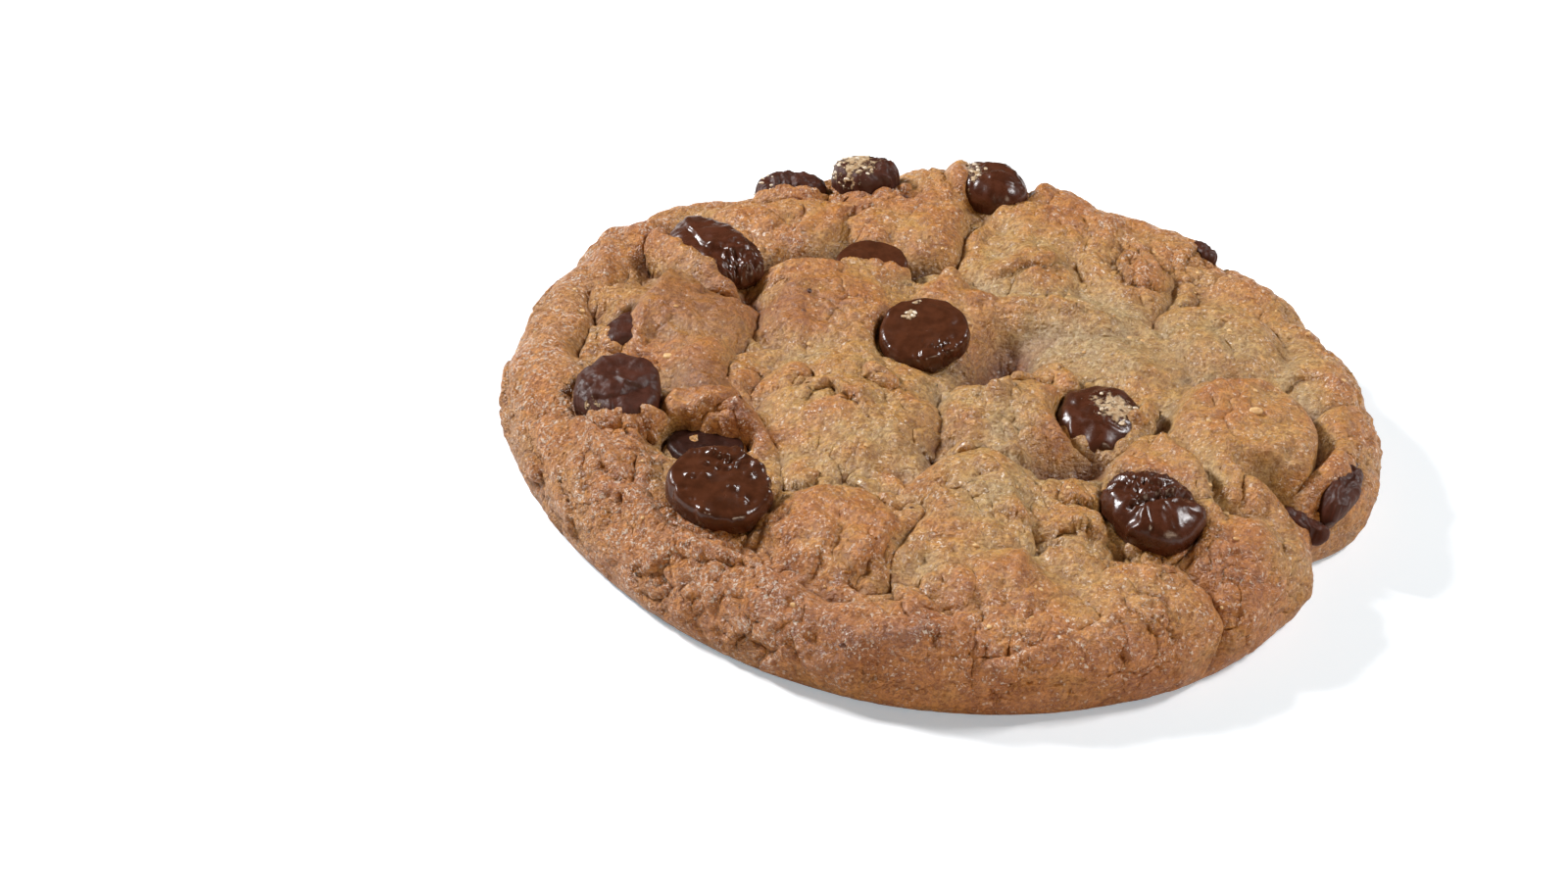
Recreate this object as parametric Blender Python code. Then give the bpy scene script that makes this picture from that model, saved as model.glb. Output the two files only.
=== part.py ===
"""A thick, soft-baked chocolate chip cookie about 100 mm across, resting flat on its baked base.

The dough is one solid: a round slab with a rolled rim, whose top is a quilt of risen lumps with
creases between them. Each chocolate chip that shows is a solid of its own, seated in a pocket of
the dough. Lengths in this file are in millimetres until an object is made, and angles in degrees,
counted anticlockwise from +X as seen from above. The origin is the middle of the base.
"""

import math

import bpy
import numpy as np
from mathutils import Euler, Matrix, Vector

MM = 0.001

# The slab: a flat top, a rounded shoulder down to the widest level, and an undercut foot
OUTER_RADIUS = 50.0
TOP_HEIGHT = 11.3
SHOULDER_WIDTH = 11.0
EQUATOR_HEIGHT = 3.8
FOOT_UNDERCUT = 2.6
PROFILE_STEPS = 40

# Where the outline swells or is pinched: (direction, half width in degrees, change of radius)
OUTLINE_SWELLS = (
    (9, 14, 1.5),
    (-22, 7, -4.3),
    (-37, 11, -1.2),
    (-88, 34, 1.6),
    (-140, 22, -0.8),
    (46, 30, 0.8),
    (90, 12, 0.8),
    (122, 10, -1.2),
    (146, 20, 0.9),
    (176, 20, 0.6),
)

# The risen lumps of the top: (x, y, half length, half width, turn, height above TOP_HEIGHT)
LUMPS = (
    (-20, 30, 10, 7, 20, 1.2),
    (-7, 34, 11, 8.5, 5, 1.7),
    (-2, 43, 6.5, 5, 0, 1.5),
    (14, 37, 10, 8.5, -15, 1.4),
    (9, 26, 7, 8, 10, 1.1),
    (20, 27, 6, 9, 12, 0.2),
    (13, 16.5, 10, 4.5, -4, 0.7),
    (1, 15.5, 5, 6, 0, 0.7),
    (-13, 11.5, 8.5, 10, -6, 1.7),
    (-30, 7, 9, 7.5, -25, 1.0),
    (21, 8, 7, 7, 0, -0.4),
    (31, 14, 8, 9, -50, 0.9),
    (11.8, -5, 6.3, 8.2, 16, 1.6),
    (34.3, -8, 8, 13.5, 12, 2.2),
    (24.5, -17, 5.5, 7.5, 14, 1.7),
    (34, -29, 7.5, 9, 42, 1.2),
    (22, -40, 9, 6.5, 25, 0.8),
    (13.5, -25, 5, 10, 0, 0.5),
    (3.5, -25, 7, 12, -12, 1.4),
    (4, -8.5, 5, 6.5, -10, 1.0),
    (-10, -8, 9.5, 11, 18, 1.4),
    (-10, -33, 8, 9, 24, 1.1),
    (-26, -4, 6, 6.5, 0, 0.6),
    (-25, -14, 7, 4.6, -18, 1.0),
    (-37, -25, 6, 8, 20, 1.0),
    (-20, -43, 9, 5.5, -28, 1.0),
    (-3, -46.5, 11, 4.6, 2, 1.0),
    (5, -38.5, 9, 5.5, 0, 0.4),
    (14, 44, 7, 5, -12, 1.6),
    (25, 41, 9, 5.5, -30, 1.3),
    (38, 29, 9, 5.5, -52, 0.9),
)
LUMP_DROP = 2.2
LUMP_FLATNESS = 2.6
VALLEY_FLOOR = -1.7
RIM_FLOOR = -0.5
RIM_BAND = (38.0, 47.0)
BLEND_WIDTH = 0.45

# How much lower the rim is at the front: drop, and the middle and half width of the band
FRONT_SLOPE = (1.3, 44.0, 5.0)

# Lumps that repeat round the rim, a little uneven in size and place
RIM_LUMPS = 19
RIM_LUMP_LENGTH = 9.5
RIM_LUMP_WIDTH = 6.0
RIM_LUMP_REACH = 47.0
RIM_LUMP_RISE = 0.35
RIM_SEED = 7

# Cracks and tight creases: (depth, half width, the points it runs through)
CREASES = (
    (1.9, 1.2, ((-22, 21), (-19, 22.5), (-13.5, 24), (-5, 24.5), (0, 25.5))),
    (0.9, 1.2, ((2, 37), (1.8, 33), (1.5, 29), (0.5, 25.5))),
    (0.9, 1.1, ((-22, 12), (-22.8, 7), (-24, 1), (-24, -6), (-22, -11), (-19, -15.5), (-17.8, -24))),
    (0.8, 1.0, ((-17.5, -24.7), (-11, -25.8), (-7, -24.4), (-3, -24), (-1.5, -28), (-4, -34), (-5, -41))),
    (0.9, 1.2, ((-1, -6), (-0.4, -11.5), (-1, -16), (-3, -21))),
    (1.3, 1.6, ((4, -14), (7, -17), (11.7, -15.7), (16, -14))),
    (1.0, 1.6, ((24.5, 17), (26, 10), (29, 5.5), (35, 7.5), (41, 2))),
    (0.8, 1.2, ((28, 4), (25, -4), (27, -10.5), (32, -20.5), (39, -24.5))),
    (2.4, 1.3, ((41, 1), (42.2, -4), (44, -12), (44.5, -20))),
    (1.0, 1.0, ((41.6, 2), (46, 5.7), (49, 8.5))),
    (0.8, 1.0, ((26.6, 34), (26.5, 25), (24.5, 18))),
    (2.2, 1.2, ((-42, 12), (-41.3, 7), (-42, -1), (-41.3, -4))),
    (1.4, 0.9, ((26, -32.5), (30.5, -34.5), (33, -40), (34.5, -45))),
    (0.6, 1.0, ((-21, -37), (-17.5, -40), (-13.5, -42.5), (-9, -44.5), (-3, -44), (2, -44))),
)

# Raised lips, where one lump has pushed up against another: (height, half width, points), with the
# steep side on the left as one walks along the points
LIPS = (
    (1.3, 1.5, ((-21.2, 18), (-15.5, 18.6), (-11.7, 20.8), (-6, 20.6), (-3.5, 19.5), (0.4, 21))),
    (1.6, 1.4, ((5, -6.6), (7.4, -4.6), (9.4, 2), (12.9, 2), (13.9, -1))),
    (0.8, 1.1, ((-0.7, -3), (1, -2), (3, -5.2), (5, -6))),
    (1.2, 1.4, ((18, -21), (19.2, -18), (21.5, -11.3), (23.7, -11.3), (27.2, -15.3), (30.5, -22.5))),
    (1.1, 1.6, ((24.5, -10.4), (28.5, -2.1), (36.2, 4.5), (39.5, 0.3), (40.8, -3.7), (42, -12.7))),
    (0.8, 1.3, ((4.9, -21), (7.6, -23.6), (8.9, -31), (8.3, -37.8))),
    (1.0, 1.6, ((-3.5, 15), (0.8, 23.5), (2.9, 31), (6, 39), (10.3, 44.6))),
    (0.8, 1.5, ((-36, 1), (-33.6, 12), (-31, 14.5))),
    (1.1, 1.2, ((-23.8, -14), (-24.5, -18.3), (-29.6, -17), (-31.5, -13))),
    (0.9, 1.5, ((-24.3, -38.8), (-19.5, -39.5), (-15.5, -43.8), (-12.6, -45.6), (-8, -48), (0, -47))),
    (0.8, 1.2, ((17, -32.5), (23.3, -34.6), (27.6, -32))),
    (0.7, 1.3, ((3, 17), (10, 16.6), (18, 15.5))),
    (0.8, 1.5, ((-40, 22), (-41, 12), (-41.5, 3), (-40.5, -5))),
    (0.8, 1.5, ((-40, -17), (-36, -27), (-30, -35), (-24.3, -38.8))),
)
LIP_STEEPNESS = 3.2

# Hollows where the top has sunk: (x, y, half length, half width, turn, depth)
HOLLOWS = (
    (6.8, 5.0, 4.4, 6.6, -14, 5.8),
    (-35.5, 18, 2.6, 4.2, -20, 1.8),
    (14, -15, 7, 2.6, 8, 1.3),
    (-24, 13, 2.2, 3.0, -30, 1.6),
)

# Where the skin is smooth and broadly rounded: (x, y, half length, half width, turn, how much)
SMOOTH = (
    (34, -8, 8, 13, 12, 0.9),
    (24, -17, 5, 7, 14, 0.7),
    (21, 9, 9, 7, 0, 0.7),
    (13, 17, 8, 4, -4, 0.6),
    (3, -27, 7, 9, -12, 0.5),
    (12, 36, 9, 8, -15, 0.5),
    (31, 15, 8, 9, -50, 0.6),
    (-13, 12, 7, 8, 0, 0.4),
    (20, -39, 11, 6, 25, 0.6),
    (-31, 9, 7, 6, -25, 0.6),
    (-6, 32, 10, 5, 5, 0.4),
)

# Uneven rising: (wavelength, height) of each layer of smooth noise, and of each layer of folds
SWELLS = ((15.0, 0.45), (6.0, 0.3))
FOLDS = ((9.0, -1.0), (4.5, -0.4))
WARP_LENGTH = 7.0
WARP_REACH = 1.0
NOISE_SEED = 11
LATTICE = 64

# Small round-topped knobs with creases between them: how far apart, how high, and how even
KNOB_SPACING = 6.5
KNOB_HEIGHT = 0.4
KNOB_ON_RIM = 0.35
KNOB_BLEND = 0.12
KNOB_SEED = 31

# Chips: name, kind, (x, y, height of its crown), (half length, half width, thickness), turn,
# lean (how far its crown tips, and towards which direction), the height of the dough round it,
# and the side on which dough covers it (direction, share of the chip), if any does
CHIPS = (
    ("chip_centre", "button", (-3.1, 6.0, 13.1), (5.1, 5.2, 5.2), 20, (17, -100), 11.7, None),
    ("chip_front_left", "button", (-23.8, -30.9, 13.6), (5.35, 5.4, 5.4), 0, (17, -80), 11.7, None),
    ("chip_front_right", "melted", (22.9, -25.2, 14.0), (5.1, 5.7, 6.6), 20, (12, -90), 11.0, None),
    ("chip_left", "chunk", (-36.8, -13.0, 13.3), (5.3, 4.9, 6.0), -20, (14, -120), 12.0, (-80, 0.2)),
    ("chip_upper_left", "melted", (-28.9, 20.4, 13.3), (7.3, 4.7, 6.2), -48, (8, -150), 11.6, (-138, 0.36)),
    ("chip_crease", "button", (-9.7, 22.4, 11.6), (4.4, 3.8, 5.0), 0, (14, -90), 11.4, (-90, 0.5)),
    ("chip_back_left", "chunk", (-20.2, 39.6, 11.7), (4.2, 3.0, 5.0), 12, (0, 90), 10.9, (-90, 0.36)),
    ("chip_back", "chunk", (-11.2, 41.4, 14.2), (3.8, 3.7, 6.0), 0, (4, 90), 12.0, None),
    ("chip_back_right", "melted", (4.4, 43.4, 14.3), (4.8, 4.6, 6.4), -35, (6, 90), 12.0, (180, 0.14)),
    ("chip_left_sliver", "chunk", (-37.2, 2.6, 10.9), (3.6, 2.3, 4.6), 66, (12, -140), 11.0, (-10, 0.3)),
    ("chip_front_left_deep", "button", (-26.2, -17.9, 9.6), (4.6, 3.3, 4.4), 10, (0, -90), 9.4, (80, 0.2)),
    ("chip_right", "melted", (17.4, -6.6, 12.6), (5.2, 4.8, 5.4), 40, (12, -90), 10.9, (-20, 0.2)),
    ("chip_rim_right", "chunk", (45.4, -10.6, 9.9), (2.1, 5.8, 5.4), -6, (24, -15), 8.6, (180, 0.5)),
    ("chip_rim_notch", "chunk", (40.6, -16.4, 7.4), (2.8, 1.2, 3.2), -18, (8, -25), 6.8, None),
    ("chip_rim_back_right", "chunk", (31.0, 37.4, 10.0), (2.2, 1.5, 3.4), -50, (20, 50), 9.7, None),
)
CHIP_EXPONENT = {"button": 4.6, "melted": 2.5, "chunk": 4.2}
CHIP_TAPER = {"button": 0.4, "melted": 0.25, "chunk": 0.15}
CHIP_SEGMENTS = 15
CHIP_RINGS = 8
CHIP_UNEVENNESS = 0.03
POCKET_GAP = 0.3
WALL_SLOPE = 1.5
WALL_BLEND = 0.3
COVER_THICKNESS = 0.6
COVER_SOFTNESS = 0.9
COVER_REACH = 1.22

# Mesh of the dough before it is thinned to the faces that its relief needs
DOUGH_CELLS = 90
DOUGH_THINNING = 0.4
CUTTER_SIZE = 160.0
BASE_TRIM = 0.5

# Baked colours, as linear values of a Principled BSDF
DOUGH_COLOUR = (0.50, 0.265, 0.105, 1.0)
CHOCOLATE_COLOUR = (0.045, 0.016, 0.009, 1.0)


def smooth_step(low, high, value):
    """0 below low, 1 above high, and an even bend between them."""
    share = np.clip((value - low) / (high - low), 0.0, 1.0)
    return share * share * (3.0 - 2.0 * share)


def lattice_noise(x, y, seed):
    """Smooth noise from about -1 to 1, whose bumps are one unit apart."""
    slopes = np.random.default_rng(seed).uniform(0.0, 2.0 * math.pi, (LATTICE, LATTICE))
    column, row = np.floor(x).astype(int), np.floor(y).astype(int)
    across, up = x - column, y - row

    def pull(i, j):
        slope = slopes[(column + i) % LATTICE, (row + j) % LATTICE]
        return np.cos(slope) * (across - i) + np.sin(slope) * (up - j)

    fade_x = across**3 * (across * (across * 6.0 - 15.0) + 10.0)
    fade_y = up**3 * (up * (up * 6.0 - 15.0) + 10.0)
    low = pull(0, 0) * (1.0 - fade_x) + pull(1, 0) * fade_x
    high = pull(0, 1) * (1.0 - fade_x) + pull(1, 1) * fade_x
    return 1.5 * (low * (1.0 - fade_y) + high * fade_y)


def knobs(x, y):
    """Height of small knobs from 0 to 1: each place takes the knob that stands highest there."""
    draw = np.random.default_rng(KNOB_SEED)
    shift_x, shift_y, crown = draw.uniform(-0.38, 0.38, (3, LATTICE, LATTICE))
    column, row = np.floor(x).astype(int), np.floor(y).astype(int)
    total = np.zeros_like(x)
    for i in (-1, 0, 1):
        for j in (-1, 0, 1):
            cell = ((column + i) % LATTICE, (row + j) % LATTICE)
            away_x = x - (column + i + 0.5 + shift_x[cell])
            away_y = y - (row + j + 0.5 + shift_y[cell])
            height = 0.7 + 0.6 * crown[cell] - 1.3 * (away_x**2 + away_y**2)
            total += np.exp(height / KNOB_BLEND)
    return KNOB_BLEND * np.log(total)


def oval_distance(x, y, centre_x, centre_y, half_length, half_width, turn):
    """Distance from an oval's centre as a share of the way to its edge."""
    angle = math.radians(turn)
    along = (x - centre_x) * math.cos(angle) + (y - centre_y) * math.sin(angle)
    across = (y - centre_y) * math.cos(angle) - (x - centre_x) * math.sin(angle)
    return np.hypot(along / half_length, across / half_width)


def distance_towards(x, y, direction):
    """How far a place lies towards a direction, in degrees."""
    angle = math.radians(direction)
    return x * math.cos(angle) + y * math.sin(angle)


def crease_distance(x, y, points):
    """Distance to the broken line through the points, less than 0 on its left side."""
    nearest = np.full_like(x, 1e9)
    side = np.ones_like(x)
    for (x0, y0), (x1, y1) in zip(points, points[1:]):
        share = ((x - x0) * (x1 - x0) + (y - y0) * (y1 - y0)) / ((x1 - x0) ** 2 + (y1 - y0) ** 2)
        share = np.clip(share, 0.0, 1.0)
        away = np.hypot(x - x0 - share * (x1 - x0), y - y0 - share * (y1 - y0))
        turned = (y - y0) * (x1 - x0) - (x - x0) * (y1 - y0)
        side = np.where(away < nearest, np.where(turned > 0.0, -1.0, 1.0), side)
        nearest = np.minimum(nearest, away)
    return side * nearest


def rim_lumps():
    """The lumps of the rim, spread round it with some unevenness."""
    draw = np.random.default_rng(RIM_SEED)
    lumps = []
    for number in range(RIM_LUMPS):
        direction = 360.0 * (number + draw.uniform(-0.3, 0.3)) / RIM_LUMPS
        length = RIM_LUMP_LENGTH * draw.uniform(0.85, 1.2)
        width = RIM_LUMP_WIDTH * draw.uniform(0.85, 1.15)
        rise = RIM_LUMP_RISE + draw.uniform(-0.3, 0.4)
        x = RIM_LUMP_REACH * math.cos(math.radians(direction))
        y = RIM_LUMP_REACH * math.sin(math.radians(direction))
        lumps.append((x, y, length, width, direction + 90.0, rise))
    return lumps


def slab_profile():
    """The slab's section from its axis over the shoulder to the foot: distance run, radius, height and normal."""
    turn = np.radians(np.linspace(90.0, 0.0, PROFILE_STEPS))
    shoulder_radius = OUTER_RADIUS - SHOULDER_WIDTH
    upper = np.stack(
        [
            shoulder_radius + SHOULDER_WIDTH * np.cos(turn),
            EQUATOR_HEIGHT + (TOP_HEIGHT - EQUATOR_HEIGHT) * np.sin(turn),
        ],
        axis=1,
    )
    under = np.radians(np.linspace(0.0, -90.0, PROFILE_STEPS))[1:]
    lower = np.stack(
        [
            OUTER_RADIUS - FOOT_UNDERCUT + FOOT_UNDERCUT * np.cos(under),
            EQUATOR_HEIGHT + EQUATOR_HEIGHT * np.sin(under),
        ],
        axis=1,
    )
    points = np.concatenate([[[0.0, TOP_HEIGHT]], upper, lower])
    steps = np.diff(points, axis=0)
    run = np.concatenate([[0.0], np.cumsum(np.hypot(steps[:, 0], steps[:, 1]))])
    tangent = np.gradient(points, axis=0)
    normal = np.stack([-tangent[:, 1], tangent[:, 0]], axis=1)
    normal[0] = (0.0, 1.0)
    normal /= np.linalg.norm(normal, axis=1, keepdims=True)
    return run, points, normal


def warped(x, y):
    """Places moved a little, so that lumps and creases are not regular."""
    moved_x = x + WARP_REACH * lattice_noise(x / WARP_LENGTH, y / WARP_LENGTH, NOISE_SEED)
    moved_y = y + WARP_REACH * lattice_noise(x / WARP_LENGTH, y / WARP_LENGTH, NOISE_SEED + 1)
    return moved_x, moved_y


def smoothness(x, y):
    """0 where the skin is uneven, and up to 1 where it is smooth."""
    share = np.zeros_like(x)
    for centre_x, centre_y, half_length, half_width, turn, amount in SMOOTH:
        away = oval_distance(x, y, centre_x, centre_y, half_length, half_width, turn)
        share = np.maximum(share, amount * np.exp(-(away**4)))
    return share


def relief(x, y):
    """How far the dough's skin stands out from the slab, at places on the unrolled top."""
    warped_x, warped_y = warped(x, y)
    run = np.hypot(x, y)
    floor = VALLEY_FLOOR + (RIM_FLOOR - VALLEY_FLOOR) * smooth_step(*RIM_BAND, run)
    total = np.exp(floor / BLEND_WIDTH)
    for centre_x, centre_y, half_length, half_width, turn, rise in (*LUMPS, *rim_lumps()):
        away = oval_distance(warped_x, warped_y, centre_x, centre_y, half_length, half_width, turn)
        crown = rise - LUMP_DROP * away**LUMP_FLATNESS
        total += np.exp(np.maximum(crown, VALLEY_FLOOR - 3.0) / BLEND_WIDTH)
    height = BLEND_WIDTH * np.log(total)
    drop, middle, half_width = FRONT_SLOPE
    front = np.clip(-y / OUTER_RADIUS, 0.0, 1.0)
    height -= drop * front * np.exp(-(((run - middle) / half_width) ** 2))
    for depth, half_width, points in CREASES:
        away = np.abs(crease_distance(warped_x, warped_y, points))
        height -= depth * np.exp(-((away / half_width) ** 1.4))
    for rise, half_width, points in LIPS:
        away = crease_distance(warped_x, warped_y, points)
        away = np.where(away < 0.0, -away * LIP_STEEPNESS, away)
        height += rise * np.exp(-((away / half_width) ** 1.8))
    for centre_x, centre_y, half_length, half_width, turn, depth in HOLLOWS:
        away = oval_distance(warped_x, warped_y, centre_x, centre_y, half_length, half_width, turn)
        height -= depth * np.exp(-(away**2.6))
    knob_share = (1.0 - (1.0 - KNOB_ON_RIM) * smooth_step(*RIM_BAND, run)) * (1.0 - smoothness(x, y))
    height += KNOB_HEIGHT * knob_share * (knobs(warped_x / KNOB_SPACING, warped_y / KNOB_SPACING) - 0.5)
    for layer, (wavelength, swell) in enumerate(SWELLS):
        height += swell * lattice_noise(x / wavelength, y / wavelength, NOISE_SEED + 2 + layer)
    for layer, (wavelength, fold) in enumerate(FOLDS):
        bend = np.abs(lattice_noise(warped_x / wavelength, warped_y / wavelength, NOISE_SEED + 7 + layer))
        height += fold * knob_share * (bend - 0.3)
    return height


def opened_for_chips(x, y, height, unrolled):
    """Lowers the skin round each chip, apart from the side where dough covers it."""
    for _, _, (chip_x, chip_y, crown), sizes, turn, (lean, leaning), level, cover in CHIPS:
        half_length, half_width, thickness = sizes
        reach = math.hypot(chip_x, chip_y)
        stretch = unrolled(reach) / reach
        base = np.interp(unrolled(reach), *LEVELS)
        centre_x, centre_y = chip_x * stretch, chip_y * stretch
        away = oval_distance(x, y, centre_x, centre_y, half_length, half_width, turn)
        outside = (away - 1.0) * math.sqrt(half_length * half_width)
        wall = level - base + WALL_SLOPE * np.maximum(outside, 0.0)
        if cover:
            direction, share = cover
            toward = distance_towards(x - centre_x, y - centre_y, direction)
            edge = (1.0 - 2.0 * share) * max(half_length, half_width)
            covered = smooth_step(edge - COVER_SOFTNESS, edge + COVER_SOFTNESS, toward)
            wall = wall + (4.0 + crown - level) * covered
            curve = 1.0 - np.sqrt(np.maximum(1.0 - (away / COVER_REACH) ** 2, 0.0))
            falling = math.tan(math.radians(lean)) * distance_towards(x - centre_x, y - centre_y, leaning)
            skin = crown - falling - curve * thickness / 2.0 + COVER_THICKNESS - base
            height = height + covered * (away < COVER_REACH) * np.maximum(skin - height, 0.0)
        height = -WALL_BLEND * np.logaddexp(-height / WALL_BLEND, -wall / WALL_BLEND)
    return height


def outline_factor(direction):
    """How much wider or narrower than a circle the cookie is in a direction, in degrees."""
    change = np.zeros_like(direction)
    for middle, half_width, swell in OUTLINE_SWELLS:
        apart = (direction - middle + 180.0) % 360.0 - 180.0
        change += swell * np.exp(-((apart / half_width) ** 2))
    return 1.0 + change / OUTER_RADIUS


RUN, PROFILE, NORMAL = slab_profile()
LEVELS = (RUN, PROFILE[:, 1])


def unrolled(radius):
    """Distance along the top's skin from the axis to a radius above the widest level."""
    upper = PROFILE_STEPS + 1
    return float(np.interp(radius, PROFILE[:upper, 0], RUN[:upper]))


def dough_points(x, y):
    """Places in space for places on the unrolled skin, given as distances from its middle."""
    run = np.hypot(x, y)
    direction = np.degrees(np.arctan2(y, x))
    height = opened_for_chips(x, y, relief(x, y), unrolled)
    fade = 1.0 - smooth_step(RUN[PROFILE_STEPS], RUN[-1] - 0.5, run)
    height = height * fade
    radius = np.interp(run, RUN, PROFILE[:, 0]) + height * np.interp(run, RUN, NORMAL[:, 0])
    level = np.interp(run, RUN, PROFILE[:, 1]) + height * np.interp(run, RUN, NORMAL[:, 1])
    widening = smooth_step(20.0, OUTER_RADIUS, radius) * (outline_factor(direction) - 1.0)
    radius = radius * (1.0 + widening)
    angle = np.radians(direction)
    return np.stack([radius * np.cos(angle), radius * np.sin(angle), level], axis=-1)


def disc_grid(cells):
    """A square grid pressed into a round one of radius 1, with even cells."""
    steps = np.linspace(-1.0, 1.0, cells + 1)
    across, up = np.meshgrid(steps, steps, indexing="ij")
    wide = np.abs(across) > np.abs(up)
    radius = np.where(wide, across, up)
    with np.errstate(divide="ignore", invalid="ignore"):
        share = np.where(wide, up / across, across / up)
    share = np.nan_to_num(share)
    angle = np.where(wide, share * math.pi / 4.0, math.pi / 2.0 - share * math.pi / 4.0)
    return radius * np.cos(angle), radius * np.sin(angle)


def plain_material(name, colour, roughness):
    material = bpy.data.materials.new(name)
    material.use_nodes = True
    shader = material.node_tree.nodes["Principled BSDF"]
    shader.inputs["Base Color"].default_value = colour
    shader.inputs["Roughness"].default_value = roughness
    shader.inputs["Metallic"].default_value = 0.0
    return material


def linked_object(name, points, faces, material):
    mesh = bpy.data.meshes.new(name)
    mesh.from_pydata([tuple(p) for p in np.asarray(points) * MM], [], faces)
    mesh.shade_smooth()
    mesh.materials.append(material)
    made = bpy.data.objects.new(name, mesh)
    bpy.context.scene.collection.objects.link(made)
    return made


def make_dough(material):
    """The dough before its pockets: the skin as a round grid, closed by a flat base."""
    x, y = disc_grid(DOUGH_CELLS)
    points = dough_points(x * RUN[-1], y * RUN[-1])
    side = DOUGH_CELLS + 1
    number = np.arange(side * side).reshape(side, side)
    corners = (number[:-1, :-1], number[1:, :-1], number[1:, 1:], number[:-1, 1:])
    faces = np.stack(corners, axis=-1).reshape(-1, 4).tolist()
    edge = [*number[:-1, 0], *number[-1, :-1], *number[:0:-1, -1], *number[0, :0:-1]]
    faces.append([int(corner) for corner in reversed(edge)])
    points = points.reshape(-1, 3)
    points[edge, 2] = -BASE_TRIM
    return linked_object("dough", points, faces, material)


def chip_points(kind, sizes, seed, grown):
    """A chip's skin round its own middle, crown up: a rounded drop, flatter above than below."""
    half_length, half_width, thickness = sizes
    exponent = CHIP_EXPONENT[kind]
    taper = CHIP_TAPER[kind]
    points = []
    for ring in range(CHIP_RINGS + 1):
        tip = math.pi * (ring / CHIP_RINGS - 0.5)
        for segment in range(CHIP_SEGMENTS):
            spin = 2.0 * math.pi * segment / CHIP_SEGMENTS
            round_x = math.copysign(abs(math.cos(tip)) ** (2.0 / exponent), 1.0)
            round_z = math.copysign(abs(math.sin(tip)) ** (2.0 / exponent), math.sin(tip))
            narrowing = 1.0 - taper * max(0.0, -round_z)
            wave = 1.0 + CHIP_UNEVENNESS * math.sin(2.0 * spin + seed) * 2.0
            wave += CHIP_UNEVENNESS * math.sin(3.0 * spin + 2.3 * seed)
            points.append(
                (
                    (half_length * narrowing * wave * math.cos(spin) + math.cos(spin) * grown) * round_x,
                    (half_width * narrowing * wave * math.sin(spin) + math.sin(spin) * grown) * round_x,
                    (thickness / 2.0 + grown) * round_z,
                )
            )
            if ring in (0, CHIP_RINGS):
                break
    return points


def chip_faces():
    """Faces of a ball of rings between two poles."""
    faces = []
    last = 1 + (CHIP_RINGS - 1) * CHIP_SEGMENTS
    for segment in range(CHIP_SEGMENTS):
        after = (segment + 1) % CHIP_SEGMENTS
        faces.append((0, 1 + after, 1 + segment))
        for ring in range(CHIP_RINGS - 2):
            low, high = 1 + ring * CHIP_SEGMENTS, 1 + (ring + 1) * CHIP_SEGMENTS
            faces.append((low + segment, low + after, high + after, high + segment))
        top = 1 + (CHIP_RINGS - 2) * CHIP_SEGMENTS
        faces.append((top + segment, top + after, last))
    return faces


def chip_placing(place, sizes, turn, lean):
    """The matrix that stands a chip in the dough: turned about its own axis, then leaning."""
    angle, direction = lean
    tipping = Matrix.Rotation(math.radians(angle), 4, _level_axis(direction))
    spun = Euler((0.0, 0.0, math.radians(turn))).to_matrix().to_4x4()
    crown = Vector(place) * MM
    sunk = Matrix.Translation(Vector((0.0, 0.0, -sizes[2] / 2.0)) * MM)
    return Matrix.Translation(crown) @ tipping @ sunk @ spun


def _level_axis(direction):
    """The level axis about which a crown tips towards a direction."""
    angle = math.radians(direction)
    return Vector((-math.sin(angle), math.cos(angle), 0.0))


def make_chip(chip, seed, material, name, grown=0.0):
    _, kind, place, sizes, turn, lean, _, _ = chip
    made = linked_object(name, chip_points(kind, sizes, seed, grown), chip_faces(), material)
    made.matrix_world = chip_placing(place, sizes, turn, lean)
    return made


def make_base_cutter(material):
    """A block below the floor, which keeps the base flat."""
    half = CUTTER_SIZE / 2.0
    corners = [(sx * half, sy * half, z) for z in (-half, 0.0) for sx, sy in ((-1, -1), (1, -1), (1, 1), (-1, 1))]
    faces = [(3, 2, 1, 0), (4, 5, 6, 7)]
    faces += [(k, (k + 1) % 4, (k + 1) % 4 + 4, k + 4) for k in range(4)]
    return linked_object("base_cutter", corners, faces, material)


def as_helper(helper, collection):
    """Keeps a cutter out of the render and shows it as wires."""
    bpy.context.scene.collection.objects.unlink(helper)
    collection.objects.link(helper)
    helper.hide_render = True
    helper.display_type = "WIRE"


def add_cut(target, name, collection):
    cut = target.modifiers.new(name, "BOOLEAN")
    cut.operation = "DIFFERENCE"
    cut.solver = "EXACT"
    cut.operand_type = "COLLECTION"
    cut.collection = collection


def build():
    for old in list(bpy.data.objects):
        bpy.data.objects.remove(old)
    crust = plain_material("baked_dough", DOUGH_COLOUR, 0.6)
    chocolate = plain_material("chocolate", CHOCOLATE_COLOUR, 0.3)
    dough = make_dough(crust)
    thinned = dough.modifiers.new("thinned", "DECIMATE")
    thinned.ratio = DOUGH_THINNING
    pockets = bpy.data.collections.new("pockets")
    bpy.context.scene.collection.children.link(pockets)
    for seed, chip in enumerate(CHIPS, 1):
        make_chip(chip, seed, chocolate, chip[0])
        as_helper(make_chip(chip, seed, chocolate, chip[0] + "_pocket", POCKET_GAP), pockets)
    as_helper(make_base_cutter(crust), pockets)
    add_cut(dough, "pocketed", pockets)


build()
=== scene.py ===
"""The looks of a thick chocolate chip cookie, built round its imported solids.

Lengths are in millimetres until an object is made, and angles in degrees, counted anticlockwise
from +X as seen from above. The origin is the middle of the cookie's base.
"""

import math

import bpy
import numpy as np
from mathutils import Euler, Matrix, Vector


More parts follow.
